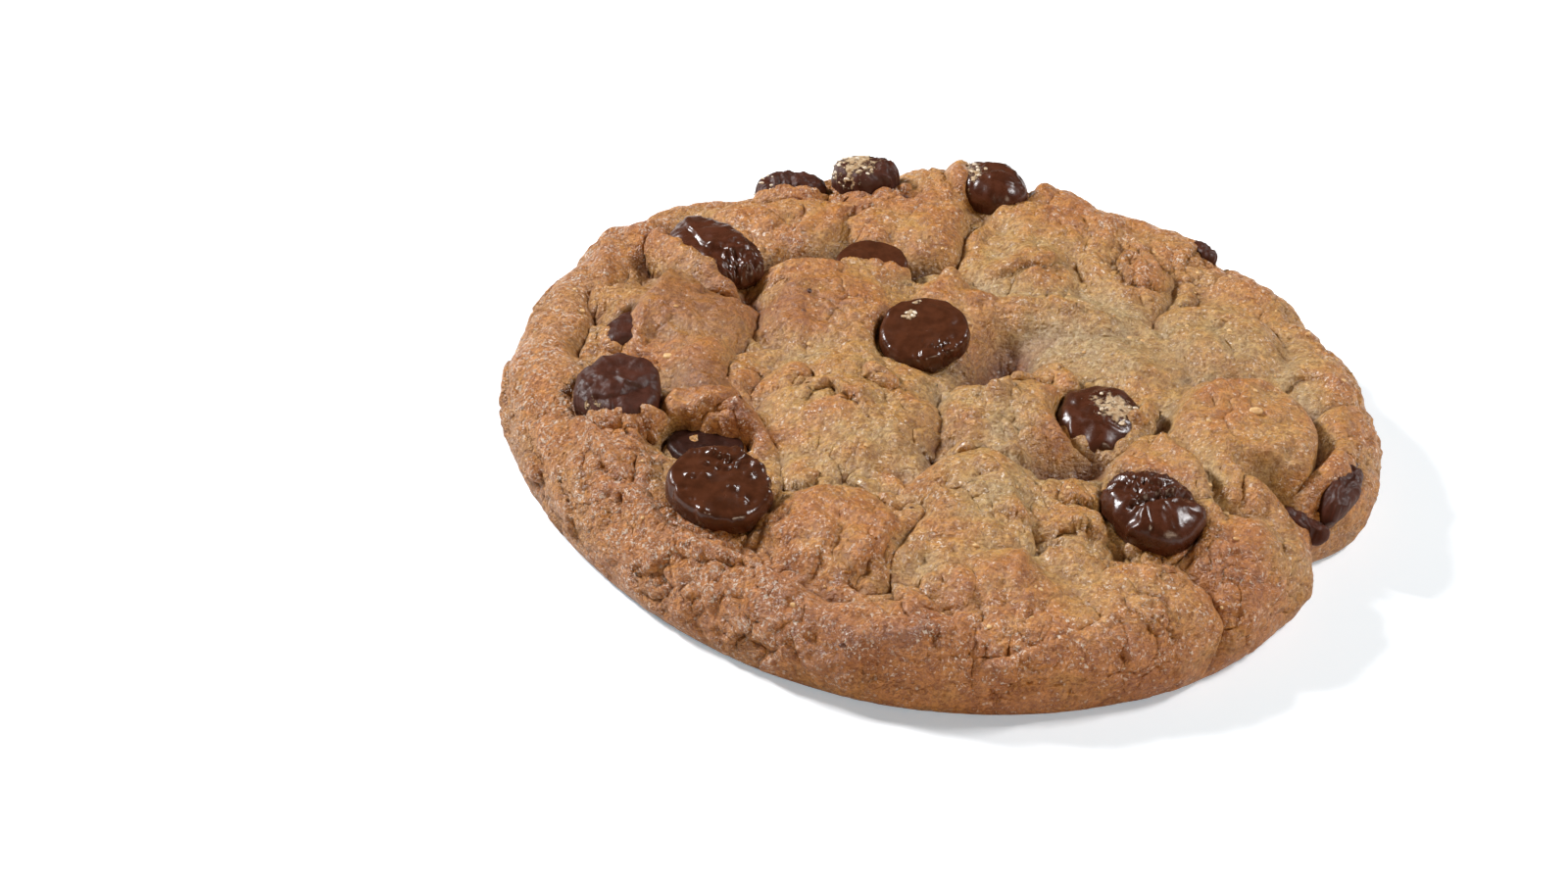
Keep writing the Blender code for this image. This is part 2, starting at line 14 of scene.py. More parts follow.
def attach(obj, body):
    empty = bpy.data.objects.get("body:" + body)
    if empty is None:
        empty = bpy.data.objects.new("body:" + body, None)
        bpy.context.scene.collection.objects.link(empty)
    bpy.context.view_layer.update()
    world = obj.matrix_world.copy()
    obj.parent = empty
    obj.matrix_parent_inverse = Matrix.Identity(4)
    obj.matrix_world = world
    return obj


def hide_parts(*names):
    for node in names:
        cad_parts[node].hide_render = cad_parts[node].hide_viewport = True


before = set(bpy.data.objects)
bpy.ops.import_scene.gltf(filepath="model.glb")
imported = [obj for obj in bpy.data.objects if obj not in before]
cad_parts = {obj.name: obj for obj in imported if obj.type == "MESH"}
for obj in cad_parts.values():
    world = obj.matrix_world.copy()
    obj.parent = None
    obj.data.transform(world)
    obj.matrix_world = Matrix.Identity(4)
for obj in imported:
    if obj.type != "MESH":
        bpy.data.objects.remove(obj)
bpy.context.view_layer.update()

MM = 0.001

# The slab: a flat top, a rounded shoulder down to the widest level, and an undercut foot
OUTER_RADIUS = 50
TOP_HEIGHT = 11.3
SHOULDER_WIDTH = 11
EQUATOR_HEIGHT = 3.8
FOOT_UNDERCUT = 2.6
PROFILE_STEPS = 40

# Where the outline swells or is pinched: (direction, half width in degrees, change of radius)
OUTLINE_SWELLS = (
    (9, 14, 1.5), (-22, 7, -4.3), (-37, 11, -1.2), (-88, 34, 1.6), (-140, 22, -0.8), (46, 30, 0.8),
    (90, 12, 0.8), (122, 10, -1.2), (146, 20, 0.9), (176, 20, 0.6),
)

# The risen lumps of the top: (x, y, half length, half width, turn, height above TOP_HEIGHT)
LUMPS = (
    (-20, 30, 10, 7, 20, 1.2), (-7, 34, 11, 8.5, 5, 1.7), (-2, 43, 6.5, 5, 0, 1.5),
    (14, 37, 10, 8.5, -15, 1.4), (9, 26, 7, 8, 10, 1.1), (20, 27, 6, 9, 12, 0.2),
    (13, 16.5, 10, 4.5, -4, 0.7), (1, 15.5, 5, 6, 0, 0.7), (-13, 11.5, 8.5, 10, -6, 1.7),
    (-30, 7, 9, 7.5, -25, 1), (21, 8, 7, 7, 0, -0.4), (31, 14, 8, 9, -50, 0.9),
    (11.8, -5, 6.3, 8.2, 16, 1.6), (34.3, -8, 8, 13.5, 12, 2.2), (24.5, -17, 5.5, 7.5, 14, 1.7),
    (34, -29, 7.5, 9, 42, 1.2), (22, -40, 9, 6.5, 25, 0.8), (13.5, -25, 5, 10, 0, 0.5),
    (3.5, -25, 7, 12, -12, 1.4), (4, -8.5, 5, 6.5, -10, 1), (-10, -8, 9.5, 11, 18, 1.4),
    (-10, -33, 8, 9, 24, 1.1), (-26, -4, 6, 6.5, 0, 0.6), (-25, -14, 7, 4.6, -18, 1),
    (-37, -25, 6, 8, 20, 1), (-20, -43, 9, 5.5, -28, 1), (-3, -46.5, 11, 4.6, 2, 1),
    (5, -38.5, 9, 5.5, 0, 0.4), (14, 44, 7, 5, -12, 1.6), (25, 41, 9, 5.5, -30, 1.3),
    (38, 29, 9, 5.5, -52, 0.9),
)
LUMP_DROP = 2.2
LUMP_FLATNESS = 2.6
VALLEY_FLOOR = -1.7
RIM_FLOOR = -0.5
RIM_BAND = (38, 47)
BLEND_WIDTH = 0.45

# How much lower the rim is at the front: drop, and the middle and half width of the band
FRONT_SLOPE = (1.3, 44, 5)

# Lumps that repeat round the rim, a little uneven in size and place
RIM_LUMPS = 19
RIM_LUMP_LENGTH = 9.5
RIM_LUMP_WIDTH = 6
RIM_LUMP_REACH = 47
RIM_LUMP_RISE = 0.35
RIM_SEED = 7

# Cracks and tight creases: (depth, half width, the points it runs through)
CREASES = (
    (1.9, 1.2, ((-22, 21), (-19, 22.5), (-13.5, 24), (-5, 24.5), (0, 25.5))),
    (0.9, 1.2, ((2, 37), (1.8, 33), (1.5, 29), (0.5, 25.5))),
    (0.9, 1.1, ((-22, 12), (-22.8, 7), (-24, 1), (-24, -6), (-22, -11), (-19, -15.5), (-17.8, -24))),
    (0.8, 1, ((-17.5, -24.7), (-11, -25.8), (-7, -24.4), (-3, -24), (-1.5, -28), (-4, -34), (-5, -41))),
    (0.9, 1.2, ((-1, -6), (-0.4, -11.5), (-1, -16), (-3, -21))),
    (1.3, 1.6, ((4, -14), (7, -17), (11.7, -15.7), (16, -14))),
    (1, 1.6, ((24.5, 17), (26, 10), (29, 5.5), (35, 7.5), (41, 2))),
    (0.8, 1.2, ((28, 4), (25, -4), (27, -10.5), (32, -20.5), (39, -24.5))),
    (2.4, 1.3, ((41, 1), (42.2, -4), (44, -12), (44.5, -20))),
    (1, 1, ((41.6, 2), (46, 5.7), (49, 8.5))),
    (0.8, 1, ((26.6, 34), (26.5, 25), (24.5, 18))),
    (2.2, 1.2, ((-42, 12), (-41.3, 7), (-42, -1), (-41.3, -4))),
    (1.4, 0.9, ((26, -32.5), (30.5, -34.5), (33, -40), (34.5, -45))),
    (0.6, 1, ((-21, -37), (-17.5, -40), (-13.5, -42.5), (-9, -44.5), (-3, -44), (2, -44))),
)

# Raised lips, where one lump has pushed up against another: (height, half width, points), with the
# steep side on the left as one walks along the points
LIPS = (
    (1.3, 1.5, ((-21.2, 18), (-15.5, 18.6), (-11.7, 20.8), (-6, 20.6), (-3.5, 19.5), (0.4, 21))),
    (1.6, 1.4, ((5, -6.6), (7.4, -4.6), (9.4, 2), (12.9, 2), (13.9, -1))),
    (0.8, 1.1, ((-0.7, -3), (1, -2), (3, -5.2), (5, -6))),
    (1.2, 1.4, ((18, -21), (19.2, -18), (21.5, -11.3), (23.7, -11.3), (27.2, -15.3), (30.5, -22.5))),
    (1.1, 1.6, ((24.5, -10.4), (28.5, -2.1), (36.2, 4.5), (39.5, 0.3), (40.8, -3.7), (42, -12.7))),
    (0.8, 1.3, ((4.9, -21), (7.6, -23.6), (8.9, -31), (8.3, -37.8))),
    (1, 1.6, ((-3.5, 15), (0.8, 23.5), (2.9, 31), (6, 39), (10.3, 44.6))),
    (0.8, 1.5, ((-36, 1), (-33.6, 12), (-31, 14.5))),
    (1.1, 1.2, ((-23.8, -14), (-24.5, -18.3), (-29.6, -17), (-31.5, -13))),
    (0.9, 1.5, ((-24.3, -38.8), (-19.5, -39.5), (-15.5, -43.8), (-12.6, -45.6), (-8, -48), (0, -47))),
    (0.8, 1.2, ((17, -32.5), (23.3, -34.6), (27.6, -32))),
    (0.7, 1.3, ((3, 17), (10, 16.6), (18, 15.5))),
    (0.8, 1.5, ((-40, 22), (-41, 12), (-41.5, 3), (-40.5, -5))),
    (0.8, 1.5, ((-40, -17), (-36, -27), (-30, -35), (-24.3, -38.8))),
)
LIP_STEEPNESS = 3.2

# Hollows where the top has sunk: (x, y, half length, half width, turn, depth)
HOLLOWS = (
    (6.8, 5, 4.4, 6.6, -14, 5.8), (-35.5, 18, 2.6, 4.2, -20, 1.8), (14, -15, 7, 2.6, 8, 1.3),
    (-24, 13, 2.2, 3, -30, 1.6),
)

# Uneven rising: (wavelength, height) of each layer of smooth noise, and of each layer of folds,
# and (wavelength, reach) of how far lumps and creases stray sideways
SWELLS = ((15, 0.45), (6, 0.3))
FOLDS = ((9, -1), (4.5, -0.4))
WARP = (7, 1)
NOISE_SEED = 11
LATTICE = 64

# Small round-topped knobs with creases between them: how far apart, how high, and how even
KNOB_SPACING = 6.5
KNOB_HEIGHT = 0.4
KNOB_ON_RIM = 0.35
KNOB_BLEND = 0.12
KNOB_SEED = 31

# Finer relief than the solids have: (wavelength, height) of folds and of smooth noise
FINE_FOLDS = ((2.9, -0.65), (1.5, -0.34), (0.85, 0.12))
FINE_SWELLS = ((1.3, 0.09), (0.75, 0.06))
FINE_WARP = (2.6, 0.5)

# Ragged tears along lines of even noise: (wavelength, depth, how far they reach), how they stray,
# and (depth, half width) of the slit at the bottom of each crease
TEARS = ((8, 1, 0.055), (4, 0.6, 0.06))
TEAR_WARP = (1.4, 0.45)
SLIT = (0.5, 0.4)

# On slopes steeper than this the fine relief fades, and it is weaker on the rim
STEEPEST = 0.9
FINE_ON_RIM = 0.6

# Two sizes of small knobs
COBBLE_SPACING = 3.3
COBBLE_HEIGHT = 0.5
CRUMB_SPACING = 1.6
CRUMB_HEIGHT = 0.75
FINE_SEED = 53

# How far apart the patches are in which a fine form is strong
CRUMBLY_PATCHES = 5
LEDGE_PATCHES = 11
TEAR_PATCHES = 9
SLIT_PATCHES = 4
PIT_PATCHES = 8
MOAT_PATCHES = 2.6
TOAST_PATCHES = 9

# Ledges, where one layer of dough ends on another: (wavelength, steps, height), and a drop's share
LEDGES = ((9, 1.2, 1.4), (4.2, 1.1, 0.55))
LEDGE_DROP = 0.07

# Pits: (spacing, half width, depth, share of cells that have one)
PITS = ((2.4, 0.34, 0.5, 0.35), (1.3, 0.3, 0.26, 0.45))

# Where the surface has broken into crumbs: (x, y, half length, half width, turn, how much)
CRUMBLY = (
    (-37, -24, 6.5, 12, 22, 1), (-27, -37, 8, 6, -30, 0.9), (-18, -38, 5, 7, 10, 0.7),
    (20, 29, 4.5, 9, 14, 0.8), (-21, 24, 5, 4, 30, 0.9), (-9, 39, 9, 5, 0, 0.7),
    (-34, -4, 4, 6, 0, 0.7), (-1, -27, 4, 9, 0, 0.7), (14, -14, 6, 3.5, 0, 0.5),
    (27, -31, 5, 5, 0, 0.6), (29, 33, 8, 5, -45, 0.6), (-10, -40, 8, 5, -10, 0.5),
    (5, -46, 10, 4.5, 5, 0.45), (23, -43, 8, 4.5, 25, 0.5), (-23, -45, 7, 4.5, -30, 0.6),
)

# Where the skin is smooth and broadly rounded: (x, y, half length, half width, turn, how much)
SMOOTH = (
    (34, -8, 8, 13, 12, 0.9), (24, -17, 5, 7, 14, 0.7), (21, 9, 9, 7, 0, 0.7), (13, 17, 8, 4, -4, 0.6),
    (3, -27, 7, 9, -12, 0.5), (12, 36, 9, 8, -15, 0.5), (31, 15, 8, 9, -50, 0.6),
    (-13, 12, 7, 8, 0, 0.4), (20, -39, 11, 6, 25, 0.6), (-31, 9, 7, 6, -25, 0.6),
    (-6, 32, 10, 5, 5, 0.4),
)

# Crackle: cell walls that have opened into fine cracks
CRACK_SPACING = 4.2
CRACK_WIDTH = 0.055
CRACK_DEPTH = 0.25
CRACK_LENGTH = 11

# Bulging of lumps over the creases beside them
BULGE = 0.45

# Mesh of the dough
DOUGH_CELLS = 440

# Chips: name, kind, (x, y, height of its crown), (half length, half width, thickness), turn,
# lean (how far its crown tips, and towards which direction), the height of the dough round it,
# and the side on which dough covers it (direction, share of the chip), if any does
CHIPS = (
    ("chip_centre", "button", (-3.1, 6, 13.1), (5.1, 5.2, 5.2), 20, (17, -100), 11.7, None),
    ("chip_front_left", "button", (-23.8, -30.9, 13.6), (5.35, 5.4, 5.4), 0, (17, -80), 11.7, None),
    ("chip_front_right", "melted", (22.9, -25.2, 14), (5.1, 5.7, 6.6), 20, (12, -90), 11, None),
    ("chip_left", "chunk", (-36.8, -13, 13.3), (5.3, 4.9, 6), -20, (14, -120), 12, (-80, 0.2)),
    ("chip_upper_left", "melted", (-28.9, 20.4, 13.3), (7.3, 4.7, 6.2), -48, (8, -150), 11.6, (-138, 0.36)),
    ("chip_crease", "button", (-9.7, 22.4, 11.6), (4.4, 3.8, 5), 0, (14, -90), 11.4, (-90, 0.5)),
    ("chip_back_left", "chunk", (-20.2, 39.6, 11.7), (4.2, 3, 5), 12, (0, 90), 10.9, (-90, 0.36)),
    ("chip_back", "chunk", (-11.2, 41.4, 14.2), (3.8, 3.7, 6), 0, (4, 90), 12, None),
    ("chip_back_right", "melted", (4.4, 43.4, 14.3), (4.8, 4.6, 6.4), -35, (6, 90), 12, (180, 0.14)),
    ("chip_left_sliver", "chunk", (-37.2, 2.6, 10.9), (3.6, 2.3, 4.6), 66, (12, -140), 11, (-10, 0.3)),
    ("chip_front_left_deep", "button", (-26.2, -17.9, 9.6), (4.6, 3.3, 4.4), 10, (0, -90), 9.4, (80, 0.2)),
    ("chip_right", "melted", (17.4, -6.6, 12.6), (5.2, 4.8, 5.4), 40, (12, -90), 10.9, (-20, 0.2)),
    ("chip_rim_right", "chunk", (45.4, -10.6, 9.9), (2.1, 5.8, 5.4), -6, (24, -15), 8.6, (180, 0.5)),
    ("chip_rim_notch", "chunk", (40.6, -16.4, 7.4), (2.8, 1.2, 3.2), -18, (8, -25), 6.8, None),
    ("chip_rim_back_right", "chunk", (31, 37.4, 10), (2.2, 1.5, 3.4), -50, (20, 50), 9.7, None),
)
CHIP_EXPONENT = {"button": 4.6, "melted": 2.5, "chunk": 4.2}
CHIP_TAPER = {"button": 0.4, "melted": 0.25, "chunk": 0.15}
CHIP_CELLS = 64
CHIP_UNEVENNESS = 0.03

# The dough round a chip: the slope of its wall, the dough that covers a side, and the dark gap
WALL_SLOPE = 1.5
WALL_BLEND = 0.3
COVER_THICKNESS = 0.6
COVER_SOFTNESS = 0.9
COVER_REACH = 1.22
WALL_RAGGED = (1.9, 0.35)
MOAT_PLACE = 0.3
MOAT_WIDTH = 0.7
MOAT_DEPTH = 2.6

# How the chips' own skins are shaped: (wavelength, height) of waves and of folds
CHIP_WAVES = {"button": (2.6, 0.22), "melted": (3.2, 0.3), "chunk": (2.6, 0.25)}
CHIP_FOLDS = {"button": (2.4, 0.1), "melted": (3.4, 0.45), "chunk": (3.2, 0.5)}
CHIP_BLISTERS = {"button": 0.1, "melted": 0.08, "chunk": 0.12, "chip_front_left": 0.32}
BLISTER_SPACING = 1.7
CHIP_EDGE = {"button": 0.24, "melted": 0, "chunk": 0}

# Parts of a chip in shares of its half length and half width, as ovals: (x, y, half length,
# half width, turn, height). Flaps end in a sharp ragged edge, and crinkles are finely wrinkled
CHIP_FLAPS = {
    "chip_front_left": (
        (0.02, 0.72, 0.34, 0.16, 4, 0.4),
        (0.02, 0.4, 0.17, 0.12, 0, 0.24),
        (0.02, 0.58, 0.06, 0.16, 0, 0.22),
        (0.42, 0.45, 0.2, 0.13, 30, -0.25),
    ),
    "chip_centre": (
        (-0.04, -0.84, 0.3, 0.28, 0, 0.35),
        (0.4, -0.74, 0.16, 0.12, 0, 0.25),
    ),
    "chip_front_right": (
        (0.1, -0.64, 0.95, 0.5, 4, 0.7),
        (0.1, -0.06, 0.85, 0.13, 6, -0.8),
        (-0.75, -0.1, 0.3, 0.8, 20, 0.3),
    ),
    "chip_upper_left": ((-0.1, 0.25, 0.75, 0.5, 0, 0.4),),
    "chip_left": ((-0.1, -0.3, 0.5, 0.35, 30, 0.35), (0.35, 0.35, 0.4, 0.5, -30, 0.3)),
    "chip_back_right": ((0.2, 0, 0.6, 0.5, 20, 0.2),),
}
CHIP_CRINKLES = {
    "chip_front_right": ((0, 0.42, 0.95, 0.55, -25, 1.1), (0.1, -0.6, 0.9, 0.4, 0, 0.1)),
    "chip_upper_left": ((0.75, 0, 0.45, 1, 0, 1.2),),
    "chip_centre": ((0.1, -0.8, 0.5, 0.34, 0, 0.9),),
    "chip_back": ((0.55, 0, 0.55, 1, 0, 0.8),),
    "chip_back_left": ((0, 0, 1, 1, 0, 0.8),),
    "chip_rim_right": ((0, 0, 1.2, 1.2, 0, 0.45),),
    "chip_rim_notch": ((0, 0, 1.2, 1.2, 0, 0.4),),
    "chip_rim_back_right": ((0, 0, 1.2, 1.2, 0, 0.5),),
    "chip_left": ((-0.6, -0.2, 0.5, 0.7, 0, 0.3),),
    "chip_right": ((0.1, 0, 0.5, 0.5, 0, 0.3),),
}

# Where dough clings to a chip as a thin dusting: (x, y, half length, half width, turn, amount)
CHIP_DUST = {
    "chip_back": ((-0.35, 0.1, 0.8, 1.2, 0, 1),),
    "chip_back_left": ((-0.8, 0, 0.4, 0.9, 0, 0.4),),
    "chip_back_right": ((-0.7, -0.55, 0.75, 0.75, 0, 1),),
    "chip_left": ((-0.2, -0.95, 1, 0.3, 0, 0.6),),
    "chip_right": ((0.3, -0.15, 0.7, 0.5, -60, 1.1),),
    "chip_centre": ((-0.22, 0.42, 0.24, 0.17, 30, 1), (0.1, 0.8, 0.2, 0.08, 0, 0.6)),
}

# Loose bits on the skin: places as (x, y, size), how flat they are, and how many tiny ones are
# scattered besides, with the range of their sizes
FLECKS = (
    (-6.5, 37, 1.3), (-16.8, 11.7, 1.1), (-17.1, 7.7, 0.8), (11, 5.2, 0.7), (-3, -28.2, 1),
    (-9, -49, 1),
)
CRUMBS = (
    (34.3, -4.6, 1.7), (31.5, -21.8, 1.2), (29, -19.5, 0.9), (-14.7, -45.3, 1), (-31.5, -2.5, 1.3),
)
SCATTERED_CRUMBS = 130
SCATTERED_SIZES = (0.35, 0.75)
GRAINS = {
    "chip_centre": 9, "chip_right": 14, "chip_back": 44,
    "chip_back_right": 26, "chip_left": 6, "chip_back_left": 12,
}
GRAIN_SIZES = (0.3, 0.75)
CRUMB_CLEARANCE = 2.5
BIT_CELLS = 6
BIT_SEED = 77

# The dough's colour from unbaked to browned
DOUGH_STOPS = (
    (0, (0.40, 0.291, 0.122)),
    (0.25, (0.42, 0.248, 0.068)),
    (0.45, (0.43, 0.209, 0.038)),
    (0.65, (0.42, 0.162, 0.022)),
    (0.85, (0.33, 0.106, 0.011)),
    (1, (0.20, 0.060, 0.013)),
)

# Where the skin is more browned, or paler: (x, y, half length, half width, turn, change)
TOASTED = (
    (-12, 35, 17, 8, 5, 0.28), (16, 38, 10, 6, -10, 0.22), (-45, 0, 5, 20, 0, 0.03),
    (-36, -24, 9, 16, 25, 0.1), (-20, -43, 18, 8, -25, 0.28), (10, -50, 24, 10, 0, 0.32),
    (34, -36, 8, 14, 35, 0.24), (-38, 24, 6, 10, 40, 0.15), (-14, 13, 9, 7, 0, 0.3),
    (-27, 8, 8, 8, -30, 0.2), (-24, -5, 6, 7, 0, 0.22), (-23, -14, 6, 4, -18, 0.3),
    (-11, -33, 8, 6, 20, 0.24), (-33, -1.5, 3, 3, 0, 0.5), (-4, -22, 3, 3, 0, 0.3),
    (18, 13, 9, 8, 0, -0.22), (36, 12, 9, 12, -45, -0.05), (34, -6, 6, 9, 12, 0.12),
    (5, -20, 10, 9, 0, -0.1),
)

# Painted shade: darker colour put where shade falls in the wider hollows: (x, y, half length, half width,
# turn, amount), how much painted shade darkens the foot, and how far round it a place is compared with its
# surroundings
PAINTED_SHADE_PATCHES = (
    (-29, 8, 8, 8, 0, 0.6), (-28, -7.5, 5.5, 5, 0, 0.7), (-16, 10, 6, 6, 0, 0.4),
    (6, 5.2, 4.6, 6.6, -14, 0.6), (20, 10, 9, 7, 0, 0.14), (13, -14, 6, 4, 0, 0.22),
    (-1.5, -12, 3, 8, 0, 0.16), (2, 15, 4, 7, 0, 0.12),
)
PAINTED_FOOT_SHADE = 0.24
BLURS = (0.9, 3.5, 7)

# The dough's other colours: rough crust, painted shade in creases and hollows, tiny dark and light parts,
# and painted glints
CRUST_COLOUR = (0.66, 0.25, 0.055)
PAINTED_SHADE_COLOUR = (0.22, 0.074, 0.012)
FINE_DARK = (0.60, 0.455, 0.22)
FINE_LIGHT = (1.33, 1.46, 2)
PAINTED_GLINT_COLOUR = (0.84, 0.74, 0.62)
DOUGH_GLOSS = 0.85

# Chocolate of each kind, and a darker copy with painted shade for one chip that lies in shade: name,
# colour, how much has a dull film, roughness, depth of its grain, and gloss
CHOCOLATES = {
    "button": ("smooth_chocolate", (0.078, 0.023, 0.009), 0.1, 0.17, 0.05, 0.42),
    "melted": ("melted_chocolate", (0.074, 0.020, 0.008), 0.05, 0.22, 0.05, 0.44),
    # A darker copy with painted shade, for the chip that lies in shade
    "chip_front_left_deep": ("chocolate_painted_shade", (0.032, 0.009, 0.005), 0, 0.4, 0.1, 0.2),
    "chunk": ("dull_chocolate", (0.066, 0.018, 0.009), 0.05, 0.4, 0.12, 0.26),
}
CLINGING_COLOURS = ((0.34, 0.20, 0.09), (0.58, 0.45, 0.29))

# Crumbs, flecks and grains: name, darkest and palest colour, and roughness
BIT_MATERIALS = (
    ("crumb", (0.50, 0.27, 0.10), (0.72, 0.50, 0.24), 0.5),
    ("fleck", (0.05, 0.014, 0.008), (0.12, 0.045, 0.022), 0.3),
    ("sugar", (0.48, 0.34, 0.20), (0.82, 0.75, 0.62), 0.25),
)

# The camera: it looks down at the cookie, a little rolled, with the cookie right of the middle
CAMERA_LENS = 85
CAMERA_SENSOR = 36
CAMERA_ELEVATION = 32.93
CAMERA_ROLL = 6.39
CAMERA_DISTANCE = 423.9
CAMERA_AIM = (0, 0, 6)
CAMERA_OFFSET = (18.14, 3.67)

# Soft lights: name, direction, elevation, distance, size, power in watts and colour
LIGHTS = (
    ("key", 163, 36, 700, 130, 6.75, (0.99, 0.99, 1.01)),
    ("right_key", 20, 44, 700, 180, 3.4, (0.99, 0.99, 1.01)),
    ("front_fill", -66, 24, 800, 250, 2.1, (1, 0.79, 0.58)),
)
WORLD_LIGHT = 0.1
WORLD_SEEN = 1
WORLD_COLOUR = (1, 0.78, 0.55)

FLOOR_SIZE = 3000
FLOOR_COLOUR = (0.9, 0.9, 0.9)
FLOOR_GLOW = (0.17, 0.25, 0.31)


# Noise and distances. A place is an array of x and y, each of which may be a grid of values


def smooth_step(low, high, value):
    """0 below low, 1 above high, and an even bend between them."""
    share = np.clip((value - low) / (high - low), 0, 1)
    return share * share * (3 - 2 * share)


def noise(place, seed):
    """Smooth noise from about -1 to 1, whose bumps are one unit apart."""
    slopes = np.random.default_rng(seed).uniform(0, 2 * math.pi, (LATTICE, LATTICE))
    column, row = np.floor(place).astype(int)
    across, up = place - np.floor(place)

    def pull(i, j):
        slope = slopes[(column + i) % LATTICE, (row + j) % LATTICE]
        return np.cos(slope) * (across - i) + np.sin(slope) * (up - j)

    fade_x = across**3 * (across * (across * 6 - 15) + 10)
    fade_y = up**3 * (up * (up * 6 - 15) + 10)
    low = pull(0, 0) * (1 - fade_x) + pull(1, 0) * fade_x
    high = pull(0, 1) * (1 - fade_x) + pull(1, 1) * fade_x
    return 1.5 * (low * (1 - fade_y) + high * fade_y)


def warp(place, seed, wavelength, reach):
    """How far places are moved sideways, so that lumps and creases are not regular."""
    return reach * np.stack([noise(place / wavelength, seed), noise(place / wavelength, seed + 1)])


def swells(place, layers, seed):
    """Layers of smooth noise, each with its wavelength and height."""
    return sum(
        height * noise(place / wavelength, seed + layer)
        for layer, (wavelength, height) in enumerate(layers)
    )


def folds(place, layers, seed):
    """Layers of sharp-edged noise, each with its wavelength and height."""
    return sum(
        height * (np.abs(noise(place / wavelength, seed + layer)) - 0.3)
        for layer, (wavelength, height) in enumerate(layers)
    )


def lattice_cells(place, shift):
    """For the nine unit cells round each place: the cell, and how far away its own point is."""
    column, row = np.floor(place).astype(int)
    for i in (-1, 0, 1):
        for j in (-1, 0, 1):
            cell = ((column + i) % LATTICE, (row + j) % LATTICE)
            away_x = place[0] - (column + i + 0.5 + shift[0][cell])
            away_y = place[1] - (row + j + 0.5 + shift[1][cell])
            yield cell, np.hypot(away_x, away_y)


def knobs(place, seed):
    """Small knobs, -0.5 to 0.5 high: each place takes the knob that stands highest there."""
    drawn = np.random.default_rng(seed).uniform(-0.38, 0.38, (3, LATTICE, LATTICE))
    total = 0
    for cell, away in lattice_cells(place, drawn):
        total += np.exp((0.7 + 0.6 * drawn[2][cell] - 1.3 * away**2) / KNOB_BLEND)
    return KNOB_BLEND * np.log(total) - 0.5


def cell_walls(place, seed):
    """How near a place is to the wall between two cells: 0 on it, and about 1 in a cell's middle."""
    shift = np.random.default_rng(seed).uniform(-0.45, 0.45, (2, LATTICE, LATTICE))
    nearest = np.partition([away for _, away in lattice_cells(place, shift)], 1, axis=0)
    return nearest[1] - nearest[0]


def pits(place, half_width, chance, seed):
    """Round pits, 1 in their middles, in some of the cells of a lattice of unit cells."""
    draw = np.random.default_rng(seed)
    shift = draw.uniform(-0.4, 0.4, (2, LATTICE, LATTICE))
    size = half_width * draw.uniform(0.5, 1.4, (LATTICE, LATTICE))
    size *= draw.uniform(0, 1, (LATTICE, LATTICE)) < chance
    depth = np.zeros_like(place[0])
    for cell, away in lattice_cells(place, shift):
        fade = np.exp(-((away / np.maximum(size[cell], 1e-6)) ** 3))
        depth = np.maximum(depth, size[cell] / half_width * fade)
    return depth


def ledges(place, steps, seed):
    """Gentle rises from 0 to 1 that end in a steep drop, along lines of even noise."""
    level = steps * noise(place, seed) + 0.5
    share = level - np.floor(level)
    falling = 1 - smooth_step(1 - LEDGE_DROP, 1, share)
    return np.where(share < 1 - LEDGE_DROP, share / (1 - LEDGE_DROP), falling)


def towards(place, direction):
    """How far a place lies from the origin in a direction."""
    angle = math.radians(direction)
    return place[0] * math.cos(angle) + place[1] * math.sin(angle)


def oval_distance(place, centre_x, centre_y, half_length, half_width, turn):
    """Distance from an oval's centre as a share of the way to its edge."""
    away = (place[0] - centre_x, place[1] - centre_y)
    return np.hypot(towards(away, turn) / half_length, towards(away, turn + 90) / half_width)


def oval_heights(place, ovals, sharpness):
    """How high each oval stands at each place, where it fades towards its edge and past it."""
    return [
        height * np.exp(-(oval_distance(place, *oval) ** sharpness)) for *oval, height in ovals
    ]


def crease_distance(place, points):
    """Distance to the broken line through the points, less than 0 on its left side."""
    x, y = place
    nearest = np.full_like(x, 1e9)
    side = np.ones_like(x)
    for (x0, y0), (x1, y1) in zip(points, points[1:]):
        share = ((x - x0) * (x1 - x0) + (y - y0) * (y1 - y0)) / ((x1 - x0) ** 2 + (y1 - y0) ** 2)
        share = np.clip(share, 0, 1)
        away = np.hypot(x - x0 - share * (x1 - x0), y - y0 - share * (y1 - y0))
        turned = (y - y0) * (x1 - x0) - (x - x0) * (y1 - y0)
        side = np.where(away < nearest, np.where(turned > 0, -1, 1), side)
        nearest = np.minimum(nearest, away)
    return side * nearest


# The dough's form


def rim_lumps():
    """The lumps of the rim, spread round it with some unevenness."""
    draw = np.random.default_rng(RIM_SEED)
    lumps = []
    for number in range(RIM_LUMPS):
        direction = 360 * (number + draw.uniform(-0.3, 0.3)) / RIM_LUMPS
        length = RIM_LUMP_LENGTH * draw.uniform(0.85, 1.2)
        width = RIM_LUMP_WIDTH * draw.uniform(0.85, 1.15)
        rise = RIM_LUMP_RISE + draw.uniform(-0.3, 0.4)
        x = RIM_LUMP_REACH * math.cos(math.radians(direction))
        y = RIM_LUMP_REACH * math.sin(math.radians(direction))
        lumps.append((x, y, length, width, direction + 90, rise))
    return lumps


def arc(centre_radius, wide, high, start, end):
    """Points of the slab's section along a quarter of an oval at the widest level."""
    turn = np.radians(np.linspace(start, end, PROFILE_STEPS))
    return np.stack([centre_radius + wide * np.cos(turn), EQUATOR_HEIGHT + high * np.sin(turn)], axis=1)


